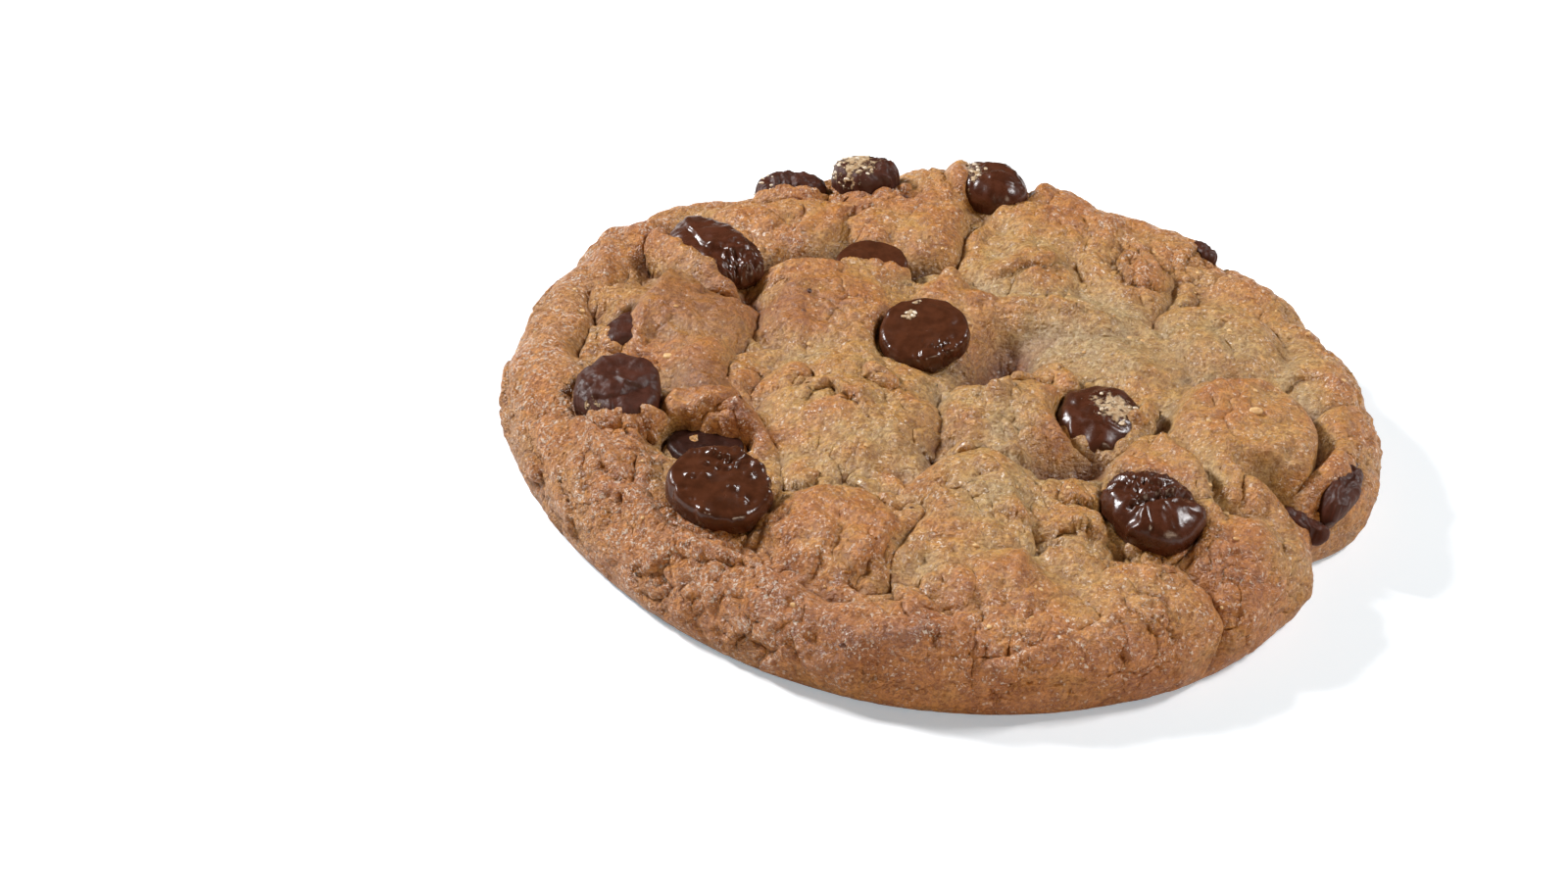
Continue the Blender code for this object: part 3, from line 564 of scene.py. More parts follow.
def slab_profile():
    """The slab's section from its axis over the shoulder to the foot: run, points and normals."""
    upper = arc(OUTER_RADIUS - SHOULDER_WIDTH, SHOULDER_WIDTH, TOP_HEIGHT - EQUATOR_HEIGHT, 90, 0)
    lower = arc(OUTER_RADIUS - FOOT_UNDERCUT, FOOT_UNDERCUT, EQUATOR_HEIGHT, 0, -90)
    points = np.concatenate([[[0, TOP_HEIGHT]], upper, lower[1:]])
    steps = np.diff(points, axis=0)
    run = np.concatenate([[0], np.cumsum(np.hypot(steps[:, 0], steps[:, 1]))])
    tangent = np.gradient(points, axis=0)
    normal = np.stack([-tangent[:, 1], tangent[:, 0]], axis=1)
    normal[0] = (0, 1)
    normal /= np.linalg.norm(normal, axis=1, keepdims=True)
    return run, points, normal


def smoothness(place):
    """0 where the skin is uneven, and up to 1 where it is smooth."""
    return np.max(oval_heights(place, SMOOTH, 4), axis=0)


def relief(place):
    """How far the dough's skin stands out from the slab, at places on the unrolled top."""
    moved = place + warp(place, NOISE_SEED, *WARP)
    run = np.hypot(*place)
    floor = VALLEY_FLOOR + (RIM_FLOOR - VALLEY_FLOOR) * smooth_step(*RIM_BAND, run)
    total = np.exp(floor / BLEND_WIDTH)
    for *oval, rise in (*LUMPS, *rim_lumps()):
        crown = rise - LUMP_DROP * oval_distance(moved, *oval) ** LUMP_FLATNESS
        total += np.exp(np.maximum(crown, VALLEY_FLOOR - 3) / BLEND_WIDTH)
    height = BLEND_WIDTH * np.log(total)
    drop, middle, half_width = FRONT_SLOPE
    front = np.clip(-place[1] / OUTER_RADIUS, 0, 1)
    height -= drop * front * np.exp(-(((run - middle) / half_width) ** 2))
    for depth, half_width, points in CREASES:
        away = np.abs(crease_distance(moved, points))
        height -= depth * np.exp(-((away / half_width) ** 1.4))
    for rise, half_width, points in LIPS:
        away = crease_distance(moved, points)
        away = np.where(away < 0, -away * LIP_STEEPNESS, away)
        height += rise * np.exp(-((away / half_width) ** 1.8))
    height -= sum(oval_heights(moved, HOLLOWS, 2.6))
    uneven = (1 - (1 - KNOB_ON_RIM) * smooth_step(*RIM_BAND, run)) * (1 - smoothness(place))
    height += KNOB_HEIGHT * uneven * knobs(moved / KNOB_SPACING, KNOB_SEED)
    height += swells(place, SWELLS, NOISE_SEED + 2)
    return height + uneven * folds(moved, FOLDS, NOISE_SEED + 7)


def crumbliness(place):
    """0 where the skin is whole, and up to 1 where it has broken into crumbs."""
    share = np.max(oval_heights(place, CRUMBLY, 3), axis=0)
    patches = noise(place / CRUMBLY_PATCHES, FINE_SEED + 20)
    return np.clip(share * (0.8 + 0.5 * patches) + 0.25 * smooth_step(0.3, 0.9, patches), 0, 1)


def fine_relief(place, broken):
    """Relief finer than the solids have: folds, crumbs, ledges, tears, pits and fine cracks."""
    moved = place + warp(place, FINE_SEED, *FINE_WARP)
    torn = moved + warp(place, FINE_SEED + 50, *TEAR_WARP)
    calm = 1 - (1 - FINE_ON_RIM) * smooth_step(*RIM_BAND, np.hypot(*place))
    calm = calm * (1 - 0.65 * smoothness(place))
    height = calm * (0.6 + 1.2 * broken) * folds(moved, FINE_FOLDS, FINE_SEED + 2)
    height += swells(place, FINE_SWELLS, FINE_SEED + 6)
    cobbles = knobs(moved / COBBLE_SPACING, FINE_SEED + 8)
    height += COBBLE_HEIGHT * calm * (0.15 + 1.1 * broken) * cobbles
    crumbs = knobs(moved / CRUMB_SPACING, FINE_SEED + 9)
    height += CRUMB_HEIGHT * (0.12 + 0.88 * broken) * crumbs
    for seed, (wavelength, steps, rise) in enumerate(LEDGES, FINE_SEED + 40):
        shown = smooth_step(-0.5, 0.3, noise(place / LEDGE_PATCHES, seed))
        height += rise * calm * shown * (ledges(moved / wavelength, steps, seed + 2) - 0.5)
    for seed, (wavelength, depth, width) in enumerate(TEARS, FINE_SEED + 52):
        shown = smooth_step(0.05, 0.5, noise(place / TEAR_PATCHES, seed) + 0.7 * broken - 0.15)
        height -= depth * shown * np.exp(-np.abs(noise(torn / wavelength, seed + 2)) / width)
    for seed, (spacing, half_width, depth, chance) in enumerate(PITS, FINE_SEED + 45):
        shown = smooth_step(-0.3, 0.5, noise(place / PIT_PATCHES, seed))
        height -= depth * shown * pits(moved / spacing, half_width, chance, seed + 2)
    split = torn + warp(place, NOISE_SEED, *WARP)
    gape = smooth_step(-0.5, 0.5, noise(place / SLIT_PATCHES, FINE_SEED + 60))
    depth, half_width = SLIT
    for _, _, points in CREASES:
        away = np.abs(crease_distance(split, points))
        height -= depth * gape * np.exp(-((away / half_width) ** 1.5))
    opened = smooth_step(0, 0.45, noise(place / CRACK_LENGTH, FINE_SEED + 12))
    walls = cell_walls(moved / CRACK_SPACING, FINE_SEED + 13)
    return height - CRACK_DEPTH * opened * np.exp(-((walls / CRACK_WIDTH) ** 1.5))


def opened_for_chips(place, height, fine):
    """Lowers the skin round each chip, apart from the side where dough covers it."""
    wavelength, ragged = WALL_RAGGED
    uneven = ragged * noise(place / wavelength, FINE_SEED + 16)
    gaps = smooth_step(-0.8, 0.2, noise(place / MOAT_PATCHES, FINE_SEED + 17))
    for _, _, (chip_x, chip_y, crown), sizes, turn, (lean, leaning), level, cover in CHIPS:
        half_length, half_width, thickness = sizes
        reach = math.hypot(chip_x, chip_y)
        stretch = unrolled(reach) / reach
        base = np.interp(unrolled(reach), *LEVELS)
        centre_x, centre_y = chip_x * stretch, chip_y * stretch
        away = oval_distance(place, centre_x, centre_y, half_length, half_width, turn)
        outside = (away - 1) * math.sqrt(half_length * half_width)
        wall = level - base + WALL_SLOPE * np.maximum(outside, 0) + uneven
        wall -= MOAT_DEPTH * gaps * np.exp(-(((outside - MOAT_PLACE) / MOAT_WIDTH) ** 2))
        if cover:
            direction, share = cover
            apart = (place[0] - centre_x, place[1] - centre_y)
            edge = (1 - 2 * share) * max(half_length, half_width)
            covered = towards(apart, direction) + 2 * uneven
            covered = smooth_step(edge - COVER_SOFTNESS, edge + COVER_SOFTNESS, covered)
            wall = wall + (4 + crown - level) * covered
            curve = 1 - np.sqrt(np.maximum(1 - (away / COVER_REACH) ** 2, 0))
            falling = math.tan(math.radians(lean)) * towards(apart, leaning)
            skin = crown - falling - curve * thickness / 2 + COVER_THICKNESS - base
            height = height + covered * (away < COVER_REACH) * np.maximum(skin + fine - height, 0)
        height = -WALL_BLEND * np.logaddexp(-height / WALL_BLEND, -wall / WALL_BLEND)
    return height


def outline_factor(direction):
    """How much wider or narrower than a circle the cookie is in a direction."""
    change = np.zeros_like(direction)
    for middle, half_width, swell in OUTLINE_SWELLS:
        apart = (direction - middle + 180) % 360 - 180
        change += swell * np.exp(-((apart / half_width) ** 2))
    return 1 + change / OUTER_RADIUS


RUN, PROFILE, NORMAL = slab_profile()
LEVELS = (RUN, PROFILE[:, 1])
WIDEST = RUN[PROFILE_STEPS]


def unrolled(radius):
    """Distance along the top's skin from the axis to a radius above the widest level."""
    upper = PROFILE_STEPS + 1
    return float(np.interp(radius, PROFILE[:upper, 0], RUN[:upper]))


def placed_on_slab(place, height):
    """Points in space for heights above the slab, at places on the unrolled skin."""
    run = np.hypot(*place)
    angle = np.arctan2(place[1], place[0])
    height = height * (1 - smooth_step(WIDEST, RUN[-1] - 0.5, run))
    radius = np.interp(run, RUN, PROFILE[:, 0]) + height * np.interp(run, RUN, NORMAL[:, 0])
    level = np.interp(run, *LEVELS) + height * np.interp(run, RUN, NORMAL[:, 1])
    widening = smooth_step(20, OUTER_RADIUS, radius) * (outline_factor(np.degrees(angle)) - 1)
    radius = radius * (1 + widening)
    return np.stack([radius * np.cos(angle), radius * np.sin(angle), level], axis=-1)


def disc_grid(cells):
    """A square grid pressed into a round one of radius 1, with even cells."""
    steps = np.linspace(-1, 1, cells + 1)
    across, up = np.meshgrid(steps, steps, indexing="ij")
    wide = np.abs(across) > np.abs(up)
    radius = np.where(wide, across, up)
    with np.errstate(divide="ignore", invalid="ignore"):
        share = np.nan_to_num(np.where(wide, up / across, across / up))
    angle = np.where(wide, share * math.pi / 4, math.pi / 2 - share * math.pi / 4)
    return radius * np.stack([np.cos(angle), np.sin(angle)])


def quads(number):
    """The square faces of a grid of numbered points."""
    corners = (number[:-1, :-1], number[1:, :-1], number[1:, 1:], number[:-1, 1:])
    return np.stack(corners, axis=-1).reshape(-1, 4)


def blurred(field, cells):
    """A grid's values averaged over squares that reach some cells each way, twice over."""
    for _ in range(2):
        for axis in (0, 1):
            padding = [(0, 0), (0, 0)]
            padding[axis] = (cells + 1, cells)
            sums = np.cumsum(np.pad(field, padding, mode="edge"), axis=axis)
            high = np.take(sums, range(2 * cells + 1, sums.shape[axis]), axis=axis)
            low = np.take(sums, range(0, sums.shape[axis] - 2 * cells - 1), axis=axis)
            field = (high - low) / (2 * cells + 1)
    return field


# Node materials


def join(tree, source, target):
    """Links a source to a node's input, or sets the input where the source is a plain value."""
    if isinstance(source, bpy.types.NodeSocket):
        tree.links.new(source, target)
    elif target.type == "RGBA":
        target.default_value = (*source, 1)
    else:
        target.default_value = source


def add_node(tree, kind, inputs, **settings):
    """Adds a node, and gives it its own settings and its inputs."""
    made = tree.nodes.new(kind)
    for name, value in settings.items():
        setattr(made, name, value)
    for name, source in inputs.items():
        join(tree, source, made.inputs[name])
    return made


class Shading:
    """A material's nodes, with short ways to add and join them."""

    def __init__(self, name):
        self.material = bpy.data.materials.new(name)
        self.material.use_nodes = True
        self.tree = self.material.node_tree
        self.shader = self.tree.nodes["Principled BSDF"]
        self.place = self.add("ShaderNodeTexCoord", {}).outputs["Object"]

    def add(self, kind, inputs, **settings):
        return add_node(self.tree, kind, inputs, **settings)

    def set(self, name, source):
        join(self.tree, source, self.shader.inputs[name])

    def attribute(self, name):
        return self.add("ShaderNodeAttribute", {}, attribute_name=name).outputs["Fac"]

    def noise(self, size, detail, roughness, distortion=0.0, stretch=1.0, turn=0.0):
        """Noise with bumps about size millimetres across, and longer in a direction if stretched."""
        turned = {"Rotation": (0, 0, math.radians(turn)), "Scale": (stretch, 1, 1), "Vector": self.place}
        mapping = self.add("ShaderNodeMapping", turned, vector_type="TEXTURE")
        looks = {"Scale": 1 / (size * MM), "Detail": detail, "Roughness": roughness}
        looks |= {"Distortion": distortion, "Vector": mapping.outputs["Vector"]}
        return self.add("ShaderNodeTexNoise", looks).outputs["Fac"]

    def cells(self, size, output="Distance"):
        """Cells about size millimetres across."""
        looks = {"Scale": 1 / (size * MM), "Vector": self.place}
        return self.add("ShaderNodeTexVoronoi", looks).outputs[output]

    def calc(self, operation, first, second):
        return self.add("ShaderNodeMath", {0: first, 1: second}, operation=operation).outputs[0]

    def total(self, *parts):
        """The sum of some sources, each of them as it is or as (source, weight)."""
        parts = [self.calc("MULTIPLY", *part) if isinstance(part, tuple) else part for part in parts]
        made = parts[0]
        for part in parts[1:]:
            made = self.calc("ADD", made, part)
        return made

    def scaled(self, source, low, high, to_low=0.0, to_high=1.0):
        ends = {"From Min": low, "From Max": high, "To Min": to_low, "To Max": to_high, "Value": source}
        return self.add("ShaderNodeMapRange", ends, interpolation_type="SMOOTHSTEP").outputs["Result"]

    def ramp(self, source, stops):
        made = self.add("ShaderNodeValToRGB", {"Fac": source})
        elements = made.color_ramp.elements
        while len(elements) < len(stops):
            elements.new(0.5)
        for element, (position, colour) in zip(elements, stops):
            element.position = position
            element.color = (*colour, 1)
        return made.outputs["Color"]

    def mix(self, share, first, second, blend="MIX"):
        colours = {"Factor": share, "A": first, "B": second}
        return self.add("ShaderNodeMix", colours, data_type="RGBA", blend_type=blend).outputs["Result"]

    def bump(self, height, depth, strength, after=None):
        """Bumps depth millimetres deep."""
        looks = {"Distance": depth * MM, "Strength": strength, "Height": height}
        if after:
            looks["Normal"] = after
        return self.add("ShaderNodeBump", looks).outputs["Normal"]


def dough_material():
    """Baked dough: browned by its toast, with painted shade in its creases and hollows, paler where it is
    rough, and painted glints.
    """
    m = Shading("baked_dough")
    toast, painted_shade, rough = (m.attribute(name) for name in ("toast", "painted_shade", "rough"))
    patches = m.noise(7.0, 5.0, 0.6)
    mottle = m.noise(2.2, 6.0, 0.65)
    grain = m.noise(0.9, 4.0, 0.65, 0.5)
    fine = m.noise(0.4, 3.0, 0.65, 0.4)
    streaks = [m.noise(0.42, 3.0, 0.6, 0.9, 4.5, turn) for turn in (70, 10)]
    streaks = m.calc("MAXIMUM", *streaks)
    uneven = ((patches, 0.15), (mottle, 0.09), (grain, 0.07))
    browning = m.total(toast, *(m.scaled(part, 0.3, 0.7, -reach, reach) for part, reach in uneven))
    colour = m.ramp(browning, DOUGH_STOPS)
    colour = m.mix(m.calc("MULTIPLY", rough, 0.38), colour, CRUST_COLOUR)
    # Painted shade: the shade colour darkens the creases and hollows where shade falls
    colour = m.mix(painted_shade, colour, PAINTED_SHADE_COLOUR)
    light = m.scaled(m.total((grain, 0.3), (fine, 0.3), (streaks, 0.4)), 0.42, 0.63)
    colour = m.mix(1.0, colour, m.mix(light, FINE_DARK, FINE_LIGHT), "MULTIPLY")
    # Pale dots: partly sugar specks, partly painted glints standing in for small highlights
    dots = m.scaled(m.cells(0.6), 0.2, 0.36, 1.0, 0.0)
    chosen = m.scaled(m.total(m.cells(0.6, "Color"), (rough, 0.2)), 0.74, 0.8)
    sugar_and_painted_glints = m.calc("MULTIPLY", dots, m.calc("MULTIPLY", chosen, 0.35))
    # Painted glints: pale colour standing in for small highlights, kept out of the painted shade
    painted_glints = m.scaled(m.total(m.noise(0.38, 2.0, 0.5, 0.8), (rough, 0.07)), 0.6, 0.69)
    painted_glints = m.calc("MULTIPLY", painted_glints, m.scaled(mottle, 0.4, 0.58, 0.0, 0.8))
    sugar_and_painted_glints = m.calc("MAXIMUM", sugar_and_painted_glints, m.total(painted_glints, (painted_shade, -1.5)))
    m.set("Base Color", m.mix(sugar_and_painted_glints, colour, PAINTED_GLINT_COLOUR))
    m.set("Roughness", m.total(m.scaled(m.noise(1.7, 3.0, 0.6), 0.35, 0.65, 0.3, 0.52), (sugar_and_painted_glints, -0.15)))
    pores = m.scaled(m.cells(0.9), 0.0, 0.4, 0.0, 0.3)
    height = m.total((grain, 0.8), (mottle, 0.6), (fine, 0.5), (streaks, 0.6), pores)
    height = m.calc("MULTIPLY", height, m.scaled(rough, 0.0, 1.0, 0.55, 1.35))
    m.set("Normal", m.bump(height, 0.75, 1.0))
    m.set("Specular IOR Level", DOUGH_GLOSS)
    return m.material


def chocolate_material(name, colour, bloom, roughness, grain_depth, gloss):
    """Chocolate: bloom is how much of it has a dull greyish film."""
    m = Shading(name)
    film = m.scaled(m.noise(3.0, 4.0, 0.6), 0.62 - bloom * 0.4, 0.78 - bloom * 0.3)
    tone = m.noise(1.3, 4.0, 0.6)
    grain = m.noise(0.5, 4.0, 0.6)
    dark = tuple(c * 0.65 for c in colour)
    dull = tuple(0.8 * c + 0.035 for c in colour)
    shown = m.mix(m.scaled(tone, 0.3, 0.7), dark, colour)
    shown = m.mix(m.calc("MULTIPLY", film, bloom * 1.4), shown, dull)
    clumps = m.noise(0.9, 4.0, 0.65)
    clinging = m.scaled(m.total(clumps, (m.attribute("dust"), 0.36)), 0.74, 0.84)
    crumb = m.mix(m.scaled(grain, 0.35, 0.65), *CLINGING_COLOURS)
    m.set("Base Color", m.mix(clinging, shown, crumb))
    rough = m.scaled(tone, 0.3, 0.7, roughness, roughness + 0.1)
    m.set("Roughness", m.total(rough, (film, 0.3 * bloom), (clinging, 0.3)))
    coated = m.bump(m.calc("MULTIPLY", clinging, m.total(grain, 0.5)), 0.3, 0.8)
    m.set("Normal", m.bump(grain, grain_depth, 0.8, coated))
    m.set("Specular IOR Level", gloss)
    return m.material


def bit_material(name, low, high, roughness):
    """Small bits whose colour lies between two."""
    m = Shading(name)
    m.set("Base Color", m.mix(m.scaled(m.noise(0.6, 3.0, 0.6), 0.35, 0.65), low, high))
    m.set("Roughness", roughness)
    m.set("Normal", m.bump(m.noise(0.3, 3.0, 0.6), 0.1, 0.8))
    return m.material


# Meshes


def mesh_object(name, points, faces, material):
    """A smooth mesh object from points in millimetres."""
    mesh = bpy.data.meshes.new(name)
    mesh.from_pydata(np.asarray(points) * MM, [], faces)
    mesh.shade_smooth()
    mesh.materials.append(material)
    made = bpy.data.objects.new(name, mesh)
    bpy.context.scene.collection.objects.link(made)
    return made


def add_attribute(mesh, name, values):
    attribute = mesh.attributes.new(name, "FLOAT", "POINT")
    attribute.data.foreach_set("value", np.asarray(values, np.float32).ravel())


def vectors(elements, name):
    """A mesh's points or normals, one in each row."""
    values = np.empty(len(elements) * 3, np.float32)
    elements.foreach_get(name, values)
    return values.reshape(-1, 3)


def bulged(mesh, place):
    """Moves each point of the skin sideways the way its face leans, so that lumps hang over creases."""
    run = np.hypot(*place).ravel()
    angle = np.arctan2(place[1], place[0]).ravel()
    outward, upward = (np.interp(run, RUN, NORMAL[:, axis]) for axis in (0, 1))
    slab = np.stack([outward * np.cos(angle), outward * np.sin(angle), upward], axis=1)
    amount = BULGE * (1 - smooth_step(WIDEST, RUN[-1] - 2, run))
    leaning = vectors(mesh.vertex_normals, "vector")
    points = vectors(mesh.vertices, "co") + (leaning - slab) * (amount * MM)[:, None]
    mesh.vertices.foreach_set("co", points.ravel())
    mesh.update()


def make_dough(material):
    """Makes the skin as a round grid with a flat base, and gives back its unrolled places and points."""
    cells = DOUGH_CELLS
    share = disc_grid(cells)
    place = share * RUN[-1]
    per_mm = cells / (2 * RUN[-1])
    broken = crumbliness(place)
    coarse = relief(place)
    slope = np.hypot(np.diff(coarse, axis=0, append=0), np.diff(coarse, axis=1, append=0)) * per_mm
    fine = fine_relief(place, broken) / (1 + (slope / STEEPEST) ** 2)
    height = opened_for_chips(place, coarse + fine, fine)
    points = placed_on_slab(place, height).reshape(-1, 3)
    side = cells + 1
    number = np.arange(side * side).reshape(side, side)
    faces = quads(number).tolist()
    edge = [*number[:-1, 0], *number[-1, :-1], *number[:0:-1, -1], *number[0, :0:-1]]
    edge = [int(corner) for corner in edge]
    faces.append(edge[::-1])
    points[edge, 2] = 0
    made = mesh_object("dough_skin", points, faces, material)
    bulged(made.data, place)
    add_looks(made.data, place, height, broken, per_mm)
    add_bake_map(made.data, share.reshape(2, -1).T)
    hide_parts("dough")
    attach(made, "root")
    return place.reshape(2, -1), vectors(made.data.vertices, "co") / MM


def add_looks(mesh, place, height, broken, per_mm):
    """Stores how browned the skin is, how much shade is painted into it, and how broken it is, at each
    point.
    """
    run = np.hypot(*place)
    near, wide, deep = (height - blurred(height, max(1, round(reach * per_mm))) for reach in BLURS)
    patches = noise(place / TOAST_PATCHES, FINE_SEED + 30)
    rim = smooth_step(36, 47, run)
    toast = 0.33 + 0.15 * np.clip(wide, -1.3, 1.3) + 0.1 * patches + 0.12 * rim + 0.06 * broken
    toast += 1.2 * sum(oval_heights(place, TOASTED, 2.5))
    toast = np.where(toast > 0.6, 0.6 + 0.5 * (toast - 0.6), toast)
    sunk = 0.2 * np.maximum(-deep - 0.8, 0)
    # Painted shade: darker colour where the skin lies below its surroundings, in the listed hollows and
    # towards the foot
    painted_shade = np.clip((0.35 * broken - 0.55) * near - 0.18 * wide + sunk - 0.05, 0, 1)
    painted_shade += sum(oval_heights(place, PAINTED_SHADE_PATCHES, 3)) + PAINTED_FOOT_SHADE * smooth_step(WIDEST - 4, WIDEST + 2, run)
    left = smooth_step(-10, -35, place[0] + 0.3 * place[1])
    add_attribute(mesh, "toast", toast)
    add_attribute(mesh, "painted_shade", np.minimum(painted_shade, 1))
    # The rough mask: crumbly crust, strongest on the left rim; it also places the crust colour and the
    # painted glints
    add_attribute(mesh, "rough", np.clip(0.7 * broken + rim * (0.2 + 0.8 * left), 0, 1))


def add_bake_map(mesh, share):
    """A flat map of the skin, with the base in a corner of its own."""
    layer = mesh.uv_layers.new(name="OFBake")
    corner = np.empty(len(mesh.loops), np.int32)
    mesh.loops.foreach_get("vertex_index", corner)
    flat = share[corner]
    places = 0.35 + 0.34 * flat
    base = mesh.polygons[len(mesh.polygons) - 1]
    at_base = slice(base.loop_start, base.loop_start + base.loop_total)
    places[at_base] = np.array([0.85, 0.15]) + 0.14 * flat[at_base]
    layer.data.foreach_set("uv", places.astype(np.float32).ravel())


def ball_grid(cells):
    """Points of a ball as two round grids that share their rim: share of the way down, direction, side."""
    x, y = disc_grid(cells)
    inner = (slice(1, -1), slice(1, -1))
    upper = np.arange(x.size).reshape(x.shape)
    lower = upper.copy()
    lower[inner] = x.size + np.arange(lower[inner].size).reshape(lower[inner].shape)
    faces = np.concatenate([quads(upper), quads(lower)[:, ::-1]])
    side = np.concatenate([np.ones(x.size), -np.ones(lower[inner].size)])
    x, y = (np.concatenate([part.ravel(), part[inner].ravel()]) for part in (x, y))
    return np.hypot(x, y), np.arctan2(y, x), side, faces


def chip_skin(node, kind, sizes, number, grid):
    """A chip's points round its own middle, crown up, and how much dough clings to each."""
    away, spin, side, _ = grid
    half_length, half_width, thickness = sizes
    exponent = CHIP_EXPONENT[kind]
    tip = np.radians(np.linspace(90, 0, 800))
    curve_r, curve_z = np.cos(tip) ** (2 / exponent), np.sin(tip) ** (2 / exponent)
    middling = math.sqrt(half_length * half_width)
    steps = np.hypot(np.diff(curve_r) * middling, np.diff(curve_z) * thickness / 2)
    run = np.concatenate([[0], np.cumsum(steps)])
    radial = np.interp(away, run / run[-1], curve_r)
    rise = np.interp(away, run / run[-1], curve_z) * side
    wave = 1 + CHIP_UNEVENNESS * (2 * np.sin(2 * spin + number) + np.sin(3 * spin + 2.3 * number))
    wave *= 1 - CHIP_TAPER[kind] * np.maximum(0, -rise)
    share = radial * np.stack([np.cos(spin), np.sin(spin)])
    x, y = half_length * wave * share[0], half_width * wave * share[1]
    z = thickness / 2 * rise
    bend = radial ** (exponent - 1)
    outward = [bend * np.cos(spin) / half_length, bend * np.sin(spin) / half_width]
    outward.append(np.abs(rise) ** (exponent - 1) * side / (thickness / 2))
    outward = np.stack(outward, axis=1)
    outward /= np.linalg.norm(outward, axis=1, keepdims=True)
    raised = chip_relief(node, kind, np.stack([x + 0.35 * z, y - 0.25 * z]), share, rise, 100 + 10 * number)
    dust = np.max(oval_heights(share, CHIP_DUST.get(node, ()), 3), axis=0, initial=0)
    return np.stack([x, y, z], axis=1) + outward * raised[:, None], dust * smooth_step(-0.3, 0.3, rise)


def chip_relief(node, kind, flat, share, rise, seed):
    """How far a chip's own waves, folds, flaps and wrinkles stand out."""
    length, height = CHIP_WAVES[kind]
    raised = height * noise(flat / length + 7, seed)
    bent = np.stack([flat[0] + 0.8 * noise(flat / 2.5, seed + 2), flat[1]])
    length, height = CHIP_FOLDS[kind]
    raised -= height * (np.abs(noise(bent / length + 5, seed + 3)) - 0.3)
    top = smooth_step(0, 0.7, rise)
    blister = CHIP_BLISTERS.get(node, CHIP_BLISTERS[kind]) * top
    raised += blister * pits(flat / BLISTER_SPACING + 9, 0.3, 0.45, seed + 7)
    raised -= 0.8 * blister * pits(flat / BLISTER_SPACING + 9, 0.26, 0.4, seed + 8)
    raised += CHIP_EDGE[kind] * top * np.exp(-(((np.hypot(*share) - 0.9) / 0.08) ** 2))
    ragged = 0.22 * noise(flat / 1.3, seed + 4)
    for *oval, height in CHIP_FLAPS.get(node, ()):
        raised += height * top * smooth_step(1.05, 0.85, oval_distance(share, *oval) + ragged)
    further_up = np.array([[0], [3]])
    wrinkled = np.abs(noise(bent / 1.5 + further_up, seed + 5))
    wrinkled += 0.5 * np.abs(noise(bent / 0.7 + further_up, seed + 6))
    reach = sum(oval_heights(share, CHIP_CRINKLES.get(node, ()), 3)) * smooth_step(-0.6, 0.2, rise)
    return raised + reach * (0.4 - wrinkled)


def chip_placing(place, sizes, turn, lean):
    """The matrix that stands a chip in the dough: turned about its own axis, then leaning."""
    angle, direction = lean
    level = Vector((-math.sin(math.radians(direction)), math.cos(math.radians(direction)), 0))
    tipping = Matrix.Rotation(math.radians(angle), 4, level)
    spun = Matrix.Rotation(math.radians(turn), 4, "Z")
    sunk = Matrix.Translation(Vector((0, 0, -sizes[2] / 2)) * MM)
    return Matrix.Translation(Vector(place) * MM) @ tipping @ sunk @ spun


def make_chips(materials):
    """Makes the chips, and gives back places on them where dough clings, for grains to stick to."""
    grid = ball_grid(CHIP_CELLS)
    draw = np.random.default_rng(BIT_SEED)
    sticky = []
    for number, (node, kind, place, sizes, turn, lean, _, _) in enumerate(CHIPS, 1):
        points, dust = chip_skin(node, kind, sizes, number, grid)
        # One chip takes the darker chocolate with painted shade
        material = materials.get(node, materials[kind])
        made = mesh_object(node.replace("chip", "chocolate"), points, grid[3].tolist(), material)
        placing = chip_placing(place, sizes, turn, lean)
        made.data.transform(placing)
        add_attribute(made.data, "dust", dust)
        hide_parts(node)
        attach(made, "root")
        if node in GRAINS:
            chosen = draw.choice(np.flatnonzero(dust > 0.5 * dust.max()), GRAINS[node])
            placed = np.array(placing.to_3x3()) @ points[chosen].T
            sticky.append(placed.T + np.array(placing.translation) / MM)
    return np.concatenate(sticky)


def bit(size, flatness, draw, grid):
    """The points of one small uneven crumb round its own middle."""
    away, spin, side, _ = grid
    tip = math.pi / 2 * away
    flat = np.sin(tip)
    direction = np.stack([flat * np.cos(spin), flat * np.sin(spin), np.cos(tip) * side], axis=1)
    uneven = np.ones(len(direction))
    for _ in range(5):
        pole = draw.normal(size=3)
        pole /= np.linalg.norm(pole)
        uneven -= 0.35 * np.maximum(direction @ pole - draw.uniform(0.1, 0.6), 0)
    stretch = np.array([draw.uniform(0.7, 1.3), 1, flatness])
    turned = np.array(Matrix.Rotation(draw.uniform(0, 2 * math.pi), 3, "Z"))
    return (direction * uneven[:, None] * stretch * size / 2) @ turned


def make_bits(name, material, middles, sizes, flatness):
    """Small crumbs at the given places, as one mesh."""
    draw = np.random.default_rng(BIT_SEED + len(name))
    grid = ball_grid(BIT_CELLS)
    points, faces = [], []
    for middle, size in zip(middles, sizes):
        faces.append(grid[3] + len(points) * len(grid[0]))
        points.append(bit(size, flatness, draw, grid) + middle)
    made = mesh_object(name, np.concatenate(points), np.concatenate(faces).tolist(), material)
    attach(made, "root")


def on_skin(x, y, skin):
    """Points of the dough's skin that are nearest to places on the unrolled top."""
    place, points = skin
    return np.array([points[np.argmin(np.hypot(place[0] - a, place[1] - b))] for a, b in zip(x, y)])


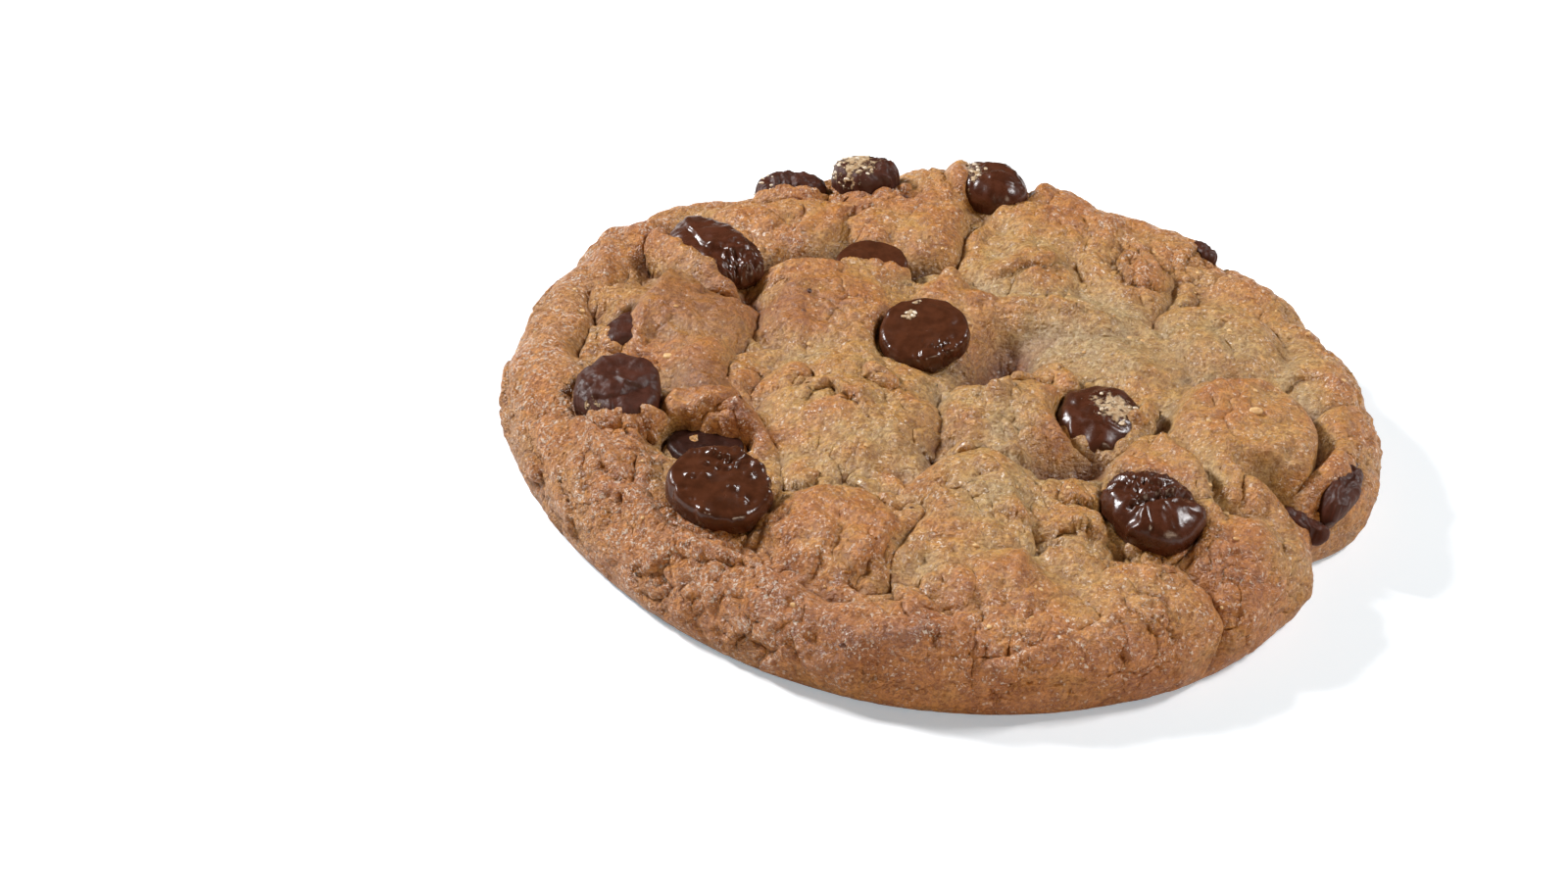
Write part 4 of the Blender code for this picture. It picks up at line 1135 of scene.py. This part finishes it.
def make_all_bits(skin, sticky):
    """Makes the flecks of chocolate, the loose crumbs and the grains that stick to the chips."""
    crumb, fleck, sugar = (bit_material(*settings) for settings in BIT_MATERIALS)
    x, y, size = np.array(FLECKS).T
    make_bits("chocolate_flecks", fleck, on_skin(x, y, skin), size, 0.5)
    draw = np.random.default_rng(BIT_SEED)
    direction = draw.uniform(0, 2 * math.pi, SCATTERED_CRUMBS)
    run = OUTER_RADIUS * np.sqrt(draw.uniform(0, 1, SCATTERED_CRUMBS))
    x, y = run * np.cos(direction), run * np.sin(direction)
    size = draw.uniform(*SCATTERED_SIZES, SCATTERED_CRUMBS)
    clear = np.ones(SCATTERED_CRUMBS, bool)
    for _, _, (chip_x, chip_y, _), (half_length, half_width, _), *_ in CHIPS:
        clear &= np.hypot(x - chip_x, y - chip_y) > max(half_length, half_width) + CRUMB_CLEARANCE
    x, y, size = np.concatenate([np.array(CRUMBS).T, np.stack([x, y, size])[:, clear]], axis=1)
    make_bits("dough_crumbs", crumb, on_skin(x, y, skin), size, 0.6)
    size = draw.uniform(*GRAIN_SIZES, len(sticky))
    make_bits("sugar_grains", sugar, sticky, size, 0.6)


# The room


def make_floor():
    """A pale floor that looks a little brighter to the camera than it is lit."""
    half = FLOOR_SIZE / 2
    corners = [(-half, -half, 0), (half, -half, 0), (half, half, 0), (-half, half, 0)]
    m = Shading("floor")
    m.set("Base Color", FLOOR_COLOUR)
    m.set("Roughness", 0.9)
    m.set("Emission Color", FLOOR_GLOW)
    m.set("Emission Strength", m.add("ShaderNodeLightPath", {}).outputs["Is Camera Ray"])
    made = mesh_object("floor", corners, [(0, 1, 2, 3)], m.material)


def add_light(name, direction, elevation, distance, size, power, colour):
    """A square soft light that looks at the cookie from a direction and an elevation."""
    lamp = bpy.data.lights.new(name, "AREA")
    lamp.size = size * MM
    lamp.energy = power
    lamp.color = colour
    made = bpy.data.objects.new(name, lamp)
    toward = Vector((1, 0, 0))
    toward.rotate(Euler((0, -math.radians(elevation), math.radians(direction))))
    made.location = toward * distance * MM
    made.rotation_euler = toward.to_track_quat("Z", "Y").to_euler()
    bpy.context.scene.collection.objects.link(made)


def make_lights():
    """The lamps, and a low warm light all round that the camera sees as white."""
    world = bpy.data.worlds.new("studio")
    world.use_nodes = True
    tree = world.node_tree
    seen = add_node(tree, "ShaderNodeLightPath", {}).outputs["Is Camera Ray"]
    ends = {"Value": seen, "To Min": WORLD_LIGHT, "To Max": WORLD_SEEN}
    strength = add_node(tree, "ShaderNodeMapRange", ends)
    colours = {"Factor": seen, "A": WORLD_COLOUR, "B": (1, 1, 1)}
    colour = add_node(tree, "ShaderNodeMix", colours, data_type="RGBA")
    background = tree.nodes["Background"]
    join(tree, strength.outputs["Result"], background.inputs["Strength"])
    join(tree, colour.outputs["Result"], background.inputs["Color"])
    bpy.context.scene.world = world
    for settings in LIGHTS:
        add_light(*settings)


def make_camera():
    lift, roll = math.radians(CAMERA_ELEVATION), math.radians(CAMERA_ROLL)
    back = Vector((0, -math.cos(lift), math.sin(lift)))
    level = Vector((1, 0, 0))
    upright = back.cross(level)
    right = math.cos(roll) * level + math.sin(roll) * upright
    up = math.cos(roll) * upright - math.sin(roll) * level
    across, above = CAMERA_OFFSET
    place = Vector(CAMERA_AIM) + back * CAMERA_DISTANCE - right * across - up * above
    lens = bpy.data.cameras.new("camera")
    lens.lens = CAMERA_LENS
    lens.sensor_width = CAMERA_SENSOR
    lens.clip_start = 0.01
    made = bpy.data.objects.new("camera", lens)
    turned = Matrix((right, up, back)).transposed().to_4x4()
    made.matrix_world = Matrix.Translation(place * MM) @ turned
    bpy.context.scene.collection.objects.link(made)
    bpy.context.scene.camera = made


bpy.context.scene.view_settings.view_transform = "Standard"
dough_skin = make_dough(dough_material())
sticky_places = make_chips({kind: chocolate_material(*looks) for kind, looks in CHOCOLATES.items()})
make_all_bits(dough_skin, sticky_places)
make_floor()
make_lights()
make_camera()
